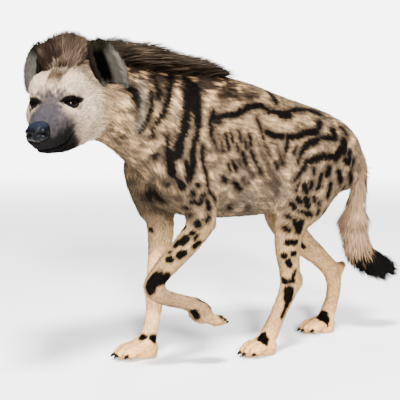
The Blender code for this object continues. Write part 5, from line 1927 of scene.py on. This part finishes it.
class HYENA_OT_nose(bpy.types.Operator):
    """The bare nose pad with its nostrils"""

    bl_idname = "hyena.nose"
    bl_label = "Nose"

    def execute(self, context):
        flesh = Flesh()
        flesh.lump((0, -0.241, 0.001), (0.030, 0.029, 0.018), (20, 0, 0), place=HEAD)
        flesh.lump((0, -0.246, -0.009), (0.020, 0.021, 0.018), place=HEAD)
        for side in SIDES.values():
            flesh.lump((side * 0.017, -0.246, -0.005), (0.014, 0.021, 0.017), place=HEAD)
        pad = flesh.fused("nose_pad", 0.0012)
        data = pad.data
        points = relaxed(points_of(data), edges_of(data), 14, 1.0)
        put_points(data, points)
        normals = normals_of(data)
        head = in_head(points)
        for side in SIDES.values():
            gap = distance_to(head, np.array(NOSTRIL) * [side, 1, 1])
            reach = 0.0058 - 0.0025 * ease(np.abs(head[:, 0]), 0.018, 0.032)
            points = points - normals * (0.010 * np.exp(-((gap / reach) ** 2) * 1.2))[:, None]
        groove = np.exp(-((head[:, 0] / 0.0018) ** 2))
        groove = groove * ease(-head[:, 1], 0.245, 0.262) * ease(head[:, 2], 0.006, -0.004)
        points = points - normals * (0.0022 * groove)[:, None]
        put_points(data, points)
        rounded(data)
        # Painted highlight: the dark leather turns paler and bluer toward the top of the pad, in patches.
        top = (ease(head[:, 2], 0.004, 0.018) * (0.6 + 0.4 * ripple(points, 0.008, 81)).clip(0, 1))[:, None]
        colour_points(data, blend(np.array(seen((12, 13, 18))), np.array(seen((62, 73, 100))), top))
        finish_piece(pad, nose_look())
        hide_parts("nose")
        return {"FINISHED"}


class HYENA_OT_claws(bpy.types.Operator):
    """Four blunt claws on each paw"""

    bl_idname = "hyena.claws"
    bl_label = "Claws"

    def execute(self, context):
        look = Look("claw_horn", 0.5, Specular_IOR_Level=0.04)
        grain = look.noise(90, 2.0, (1, 1, 0.2))
        look.set("Base Color", look.mix(grain, seen((12, 10, 9)), seen((46, 36, 30))))
        for name in PAWS:
            flesh = Flesh()
            for x, y, radius in TOES:
                tip = [
                    (x, y - radius + 0.001, 0.0180, 0.0048, 0.0052),
                    (x, y - radius - 0.006, 0.0155, 0.0036, 0.0042),
                    (x, y - radius - 0.010, 0.0112, 0.0014, 0.0018),
                ]
                flesh.limb(tip, place=paw_matrix(name), sides=12, between=4)
            claws = flesh.loose("claws_" + name)
            rounded(claws.data)
            finish_piece(claws, look)
        return {"FINISHED"}


# How far off the floor starts to fade into the backdrop, and where it is gone
FLOOR_FADE = (2.0, 9.0)


class HYENA_OT_stage(bpy.types.Operator):
    """Pale floor, soft studio light and the camera"""

    bl_idname = "hyena.stage"
    bl_label = "Stage"

    def execute(self, context):
        settings = context.scene.hyena_stage
        mesh = bmesh.new()
        bmesh.ops.create_grid(mesh, x_segments=1, y_segments=1, size=60)
        floor = in_scene("floor", made_from(mesh, "floor"))
        look = Look("studio_floor", 0.9, Specular_IOR_Level=0.0)
        away = look.node("VectorMath", {"operation": "LENGTH"}, out="Value", s0=look.place())
        smooth = {"interpolation_type": "SMOOTHSTEP"}
        fade = look.node("MapRange", smooth, Value=away, From_Min=FLOOR_FADE[0], From_Max=FLOOR_FADE[1])
        floor_colour = tuple(settings.floor)
        look.set("Base Color", look.mix(fade, floor_colour, (0.0, 0.0, 0.0)))
        look.set("Emission Color", look.mix(fade, (0.0, 0.0, 0.0), (1.0, 1.0, 1.0)))
        look.shader.inputs["Emission Strength"].default_value = settings.backdrop
        floor.data.materials.append(look.material)
        context.scene.world = self.studio(settings)
        target = VIEW_TARGET
        self.light("key", (2.0, -1.3, 3.9), target, 850, 0.75)
        self.light("front", target + Vector((4.4, -1.95, 1.50)), target, 14, 0.15, "SUN")
        self.light("rim", (-2.0, 2.2, 2.8), target, 160, 1.6)
        camera = bpy.data.cameras.new("camera")
        camera.lens = settings.lens
        camera.sensor_width = 36
        holder = in_scene("camera", camera)
        back = view_back(settings.azimuth, settings.height)
        holder.location = target + back * settings.distance
        holder.rotation_euler = (-back).to_track_quat("-Z", "Y").to_euler()
        context.scene.camera = holder
        return {"FINISHED"}

    @staticmethod
    def studio(settings):
        """Soft light from all round, with a paler backdrop behind the hyena."""
        world = bpy.data.worlds.new("studio")
        world.use_nodes = True
        nodes, links = world.node_tree.nodes, world.node_tree.links
        soft = nodes["Background"]
        soft.inputs["Strength"].default_value = settings.ambient
        backdrop = nodes.new("ShaderNodeBackground")
        backdrop.inputs["Strength"].default_value = settings.backdrop
        for shader in (soft, backdrop):
            shader.inputs["Color"].default_value = (1, 1, 1, 1)
        ray = nodes.new("ShaderNodeLightPath")
        mix = nodes.new("ShaderNodeMixShader")
        links.new(ray.outputs["Is Camera Ray"], mix.inputs[0])
        links.new(soft.outputs[0], mix.inputs[1])
        links.new(backdrop.outputs[0], mix.inputs[2])
        links.new(mix.outputs[0], nodes["World Output"].inputs["Surface"])
        return world

    @staticmethod
    def light(name, place, target, power, size, kind="AREA"):
        """A soft square light, or a far one whose size is the angle it is seen under."""
        lamp = bpy.data.lights.new(name, kind)
        lamp.energy = power
        if kind == "AREA":
            lamp.size = size
        else:
            lamp.angle = size
        holder = in_scene(name, lamp)
        holder.location = place
        holder.rotation_euler = (target - Vector(place)).to_track_quat("-Z", "Y").to_euler()


OPERATORS = (
    HYENA_OT_skin,
    HYENA_OT_coat,
    HYENA_OT_mane,
    HYENA_OT_tail,
    HYENA_OT_ears,
    HYENA_OT_eyes,
    HYENA_OT_nose,
    HYENA_OT_claws,
    HYENA_OT_stage,
)


class HYENA_PT_panel(bpy.types.Panel):
    """The pieces of the hyena"""

    bl_idname = "HYENA_PT_panel"
    bl_label = "Spotted hyena"
    bl_space_type = "VIEW_3D"
    bl_region_type = "UI"
    bl_category = "Hyena"

    def draw(self, context):
        for group in (context.scene.hyena_coat, context.scene.hyena_face, context.scene.hyena_stage):
            for name in group.bl_rna.properties.keys():
                if name not in ("rna_type", "name"):
                    self.layout.prop(group, name)
        for operator in OPERATORS:
            self.layout.operator(operator.bl_idname)


CLASSES = (HyenaCoat, HyenaFace, HyenaStage, *OPERATORS, HYENA_PT_panel)
GROUPS = {"hyena_coat": HyenaCoat, "hyena_face": HyenaFace, "hyena_stage": HyenaStage}


def register():
    for item in CLASSES:
        bpy.utils.register_class(item)
    for name, group in GROUPS.items():
        setattr(bpy.types.Scene, name, PointerProperty(type=group))


def unregister():
    for name in GROUPS:
        delattr(bpy.types.Scene, name)
    for item in reversed(CLASSES):
        bpy.utils.unregister_class(item)


def main():
    register()
    for operator in OPERATORS:
        group, name = operator.bl_idname.split(".")
        getattr(getattr(bpy.ops, group), name)()


if __name__ == "__main__":
    main()
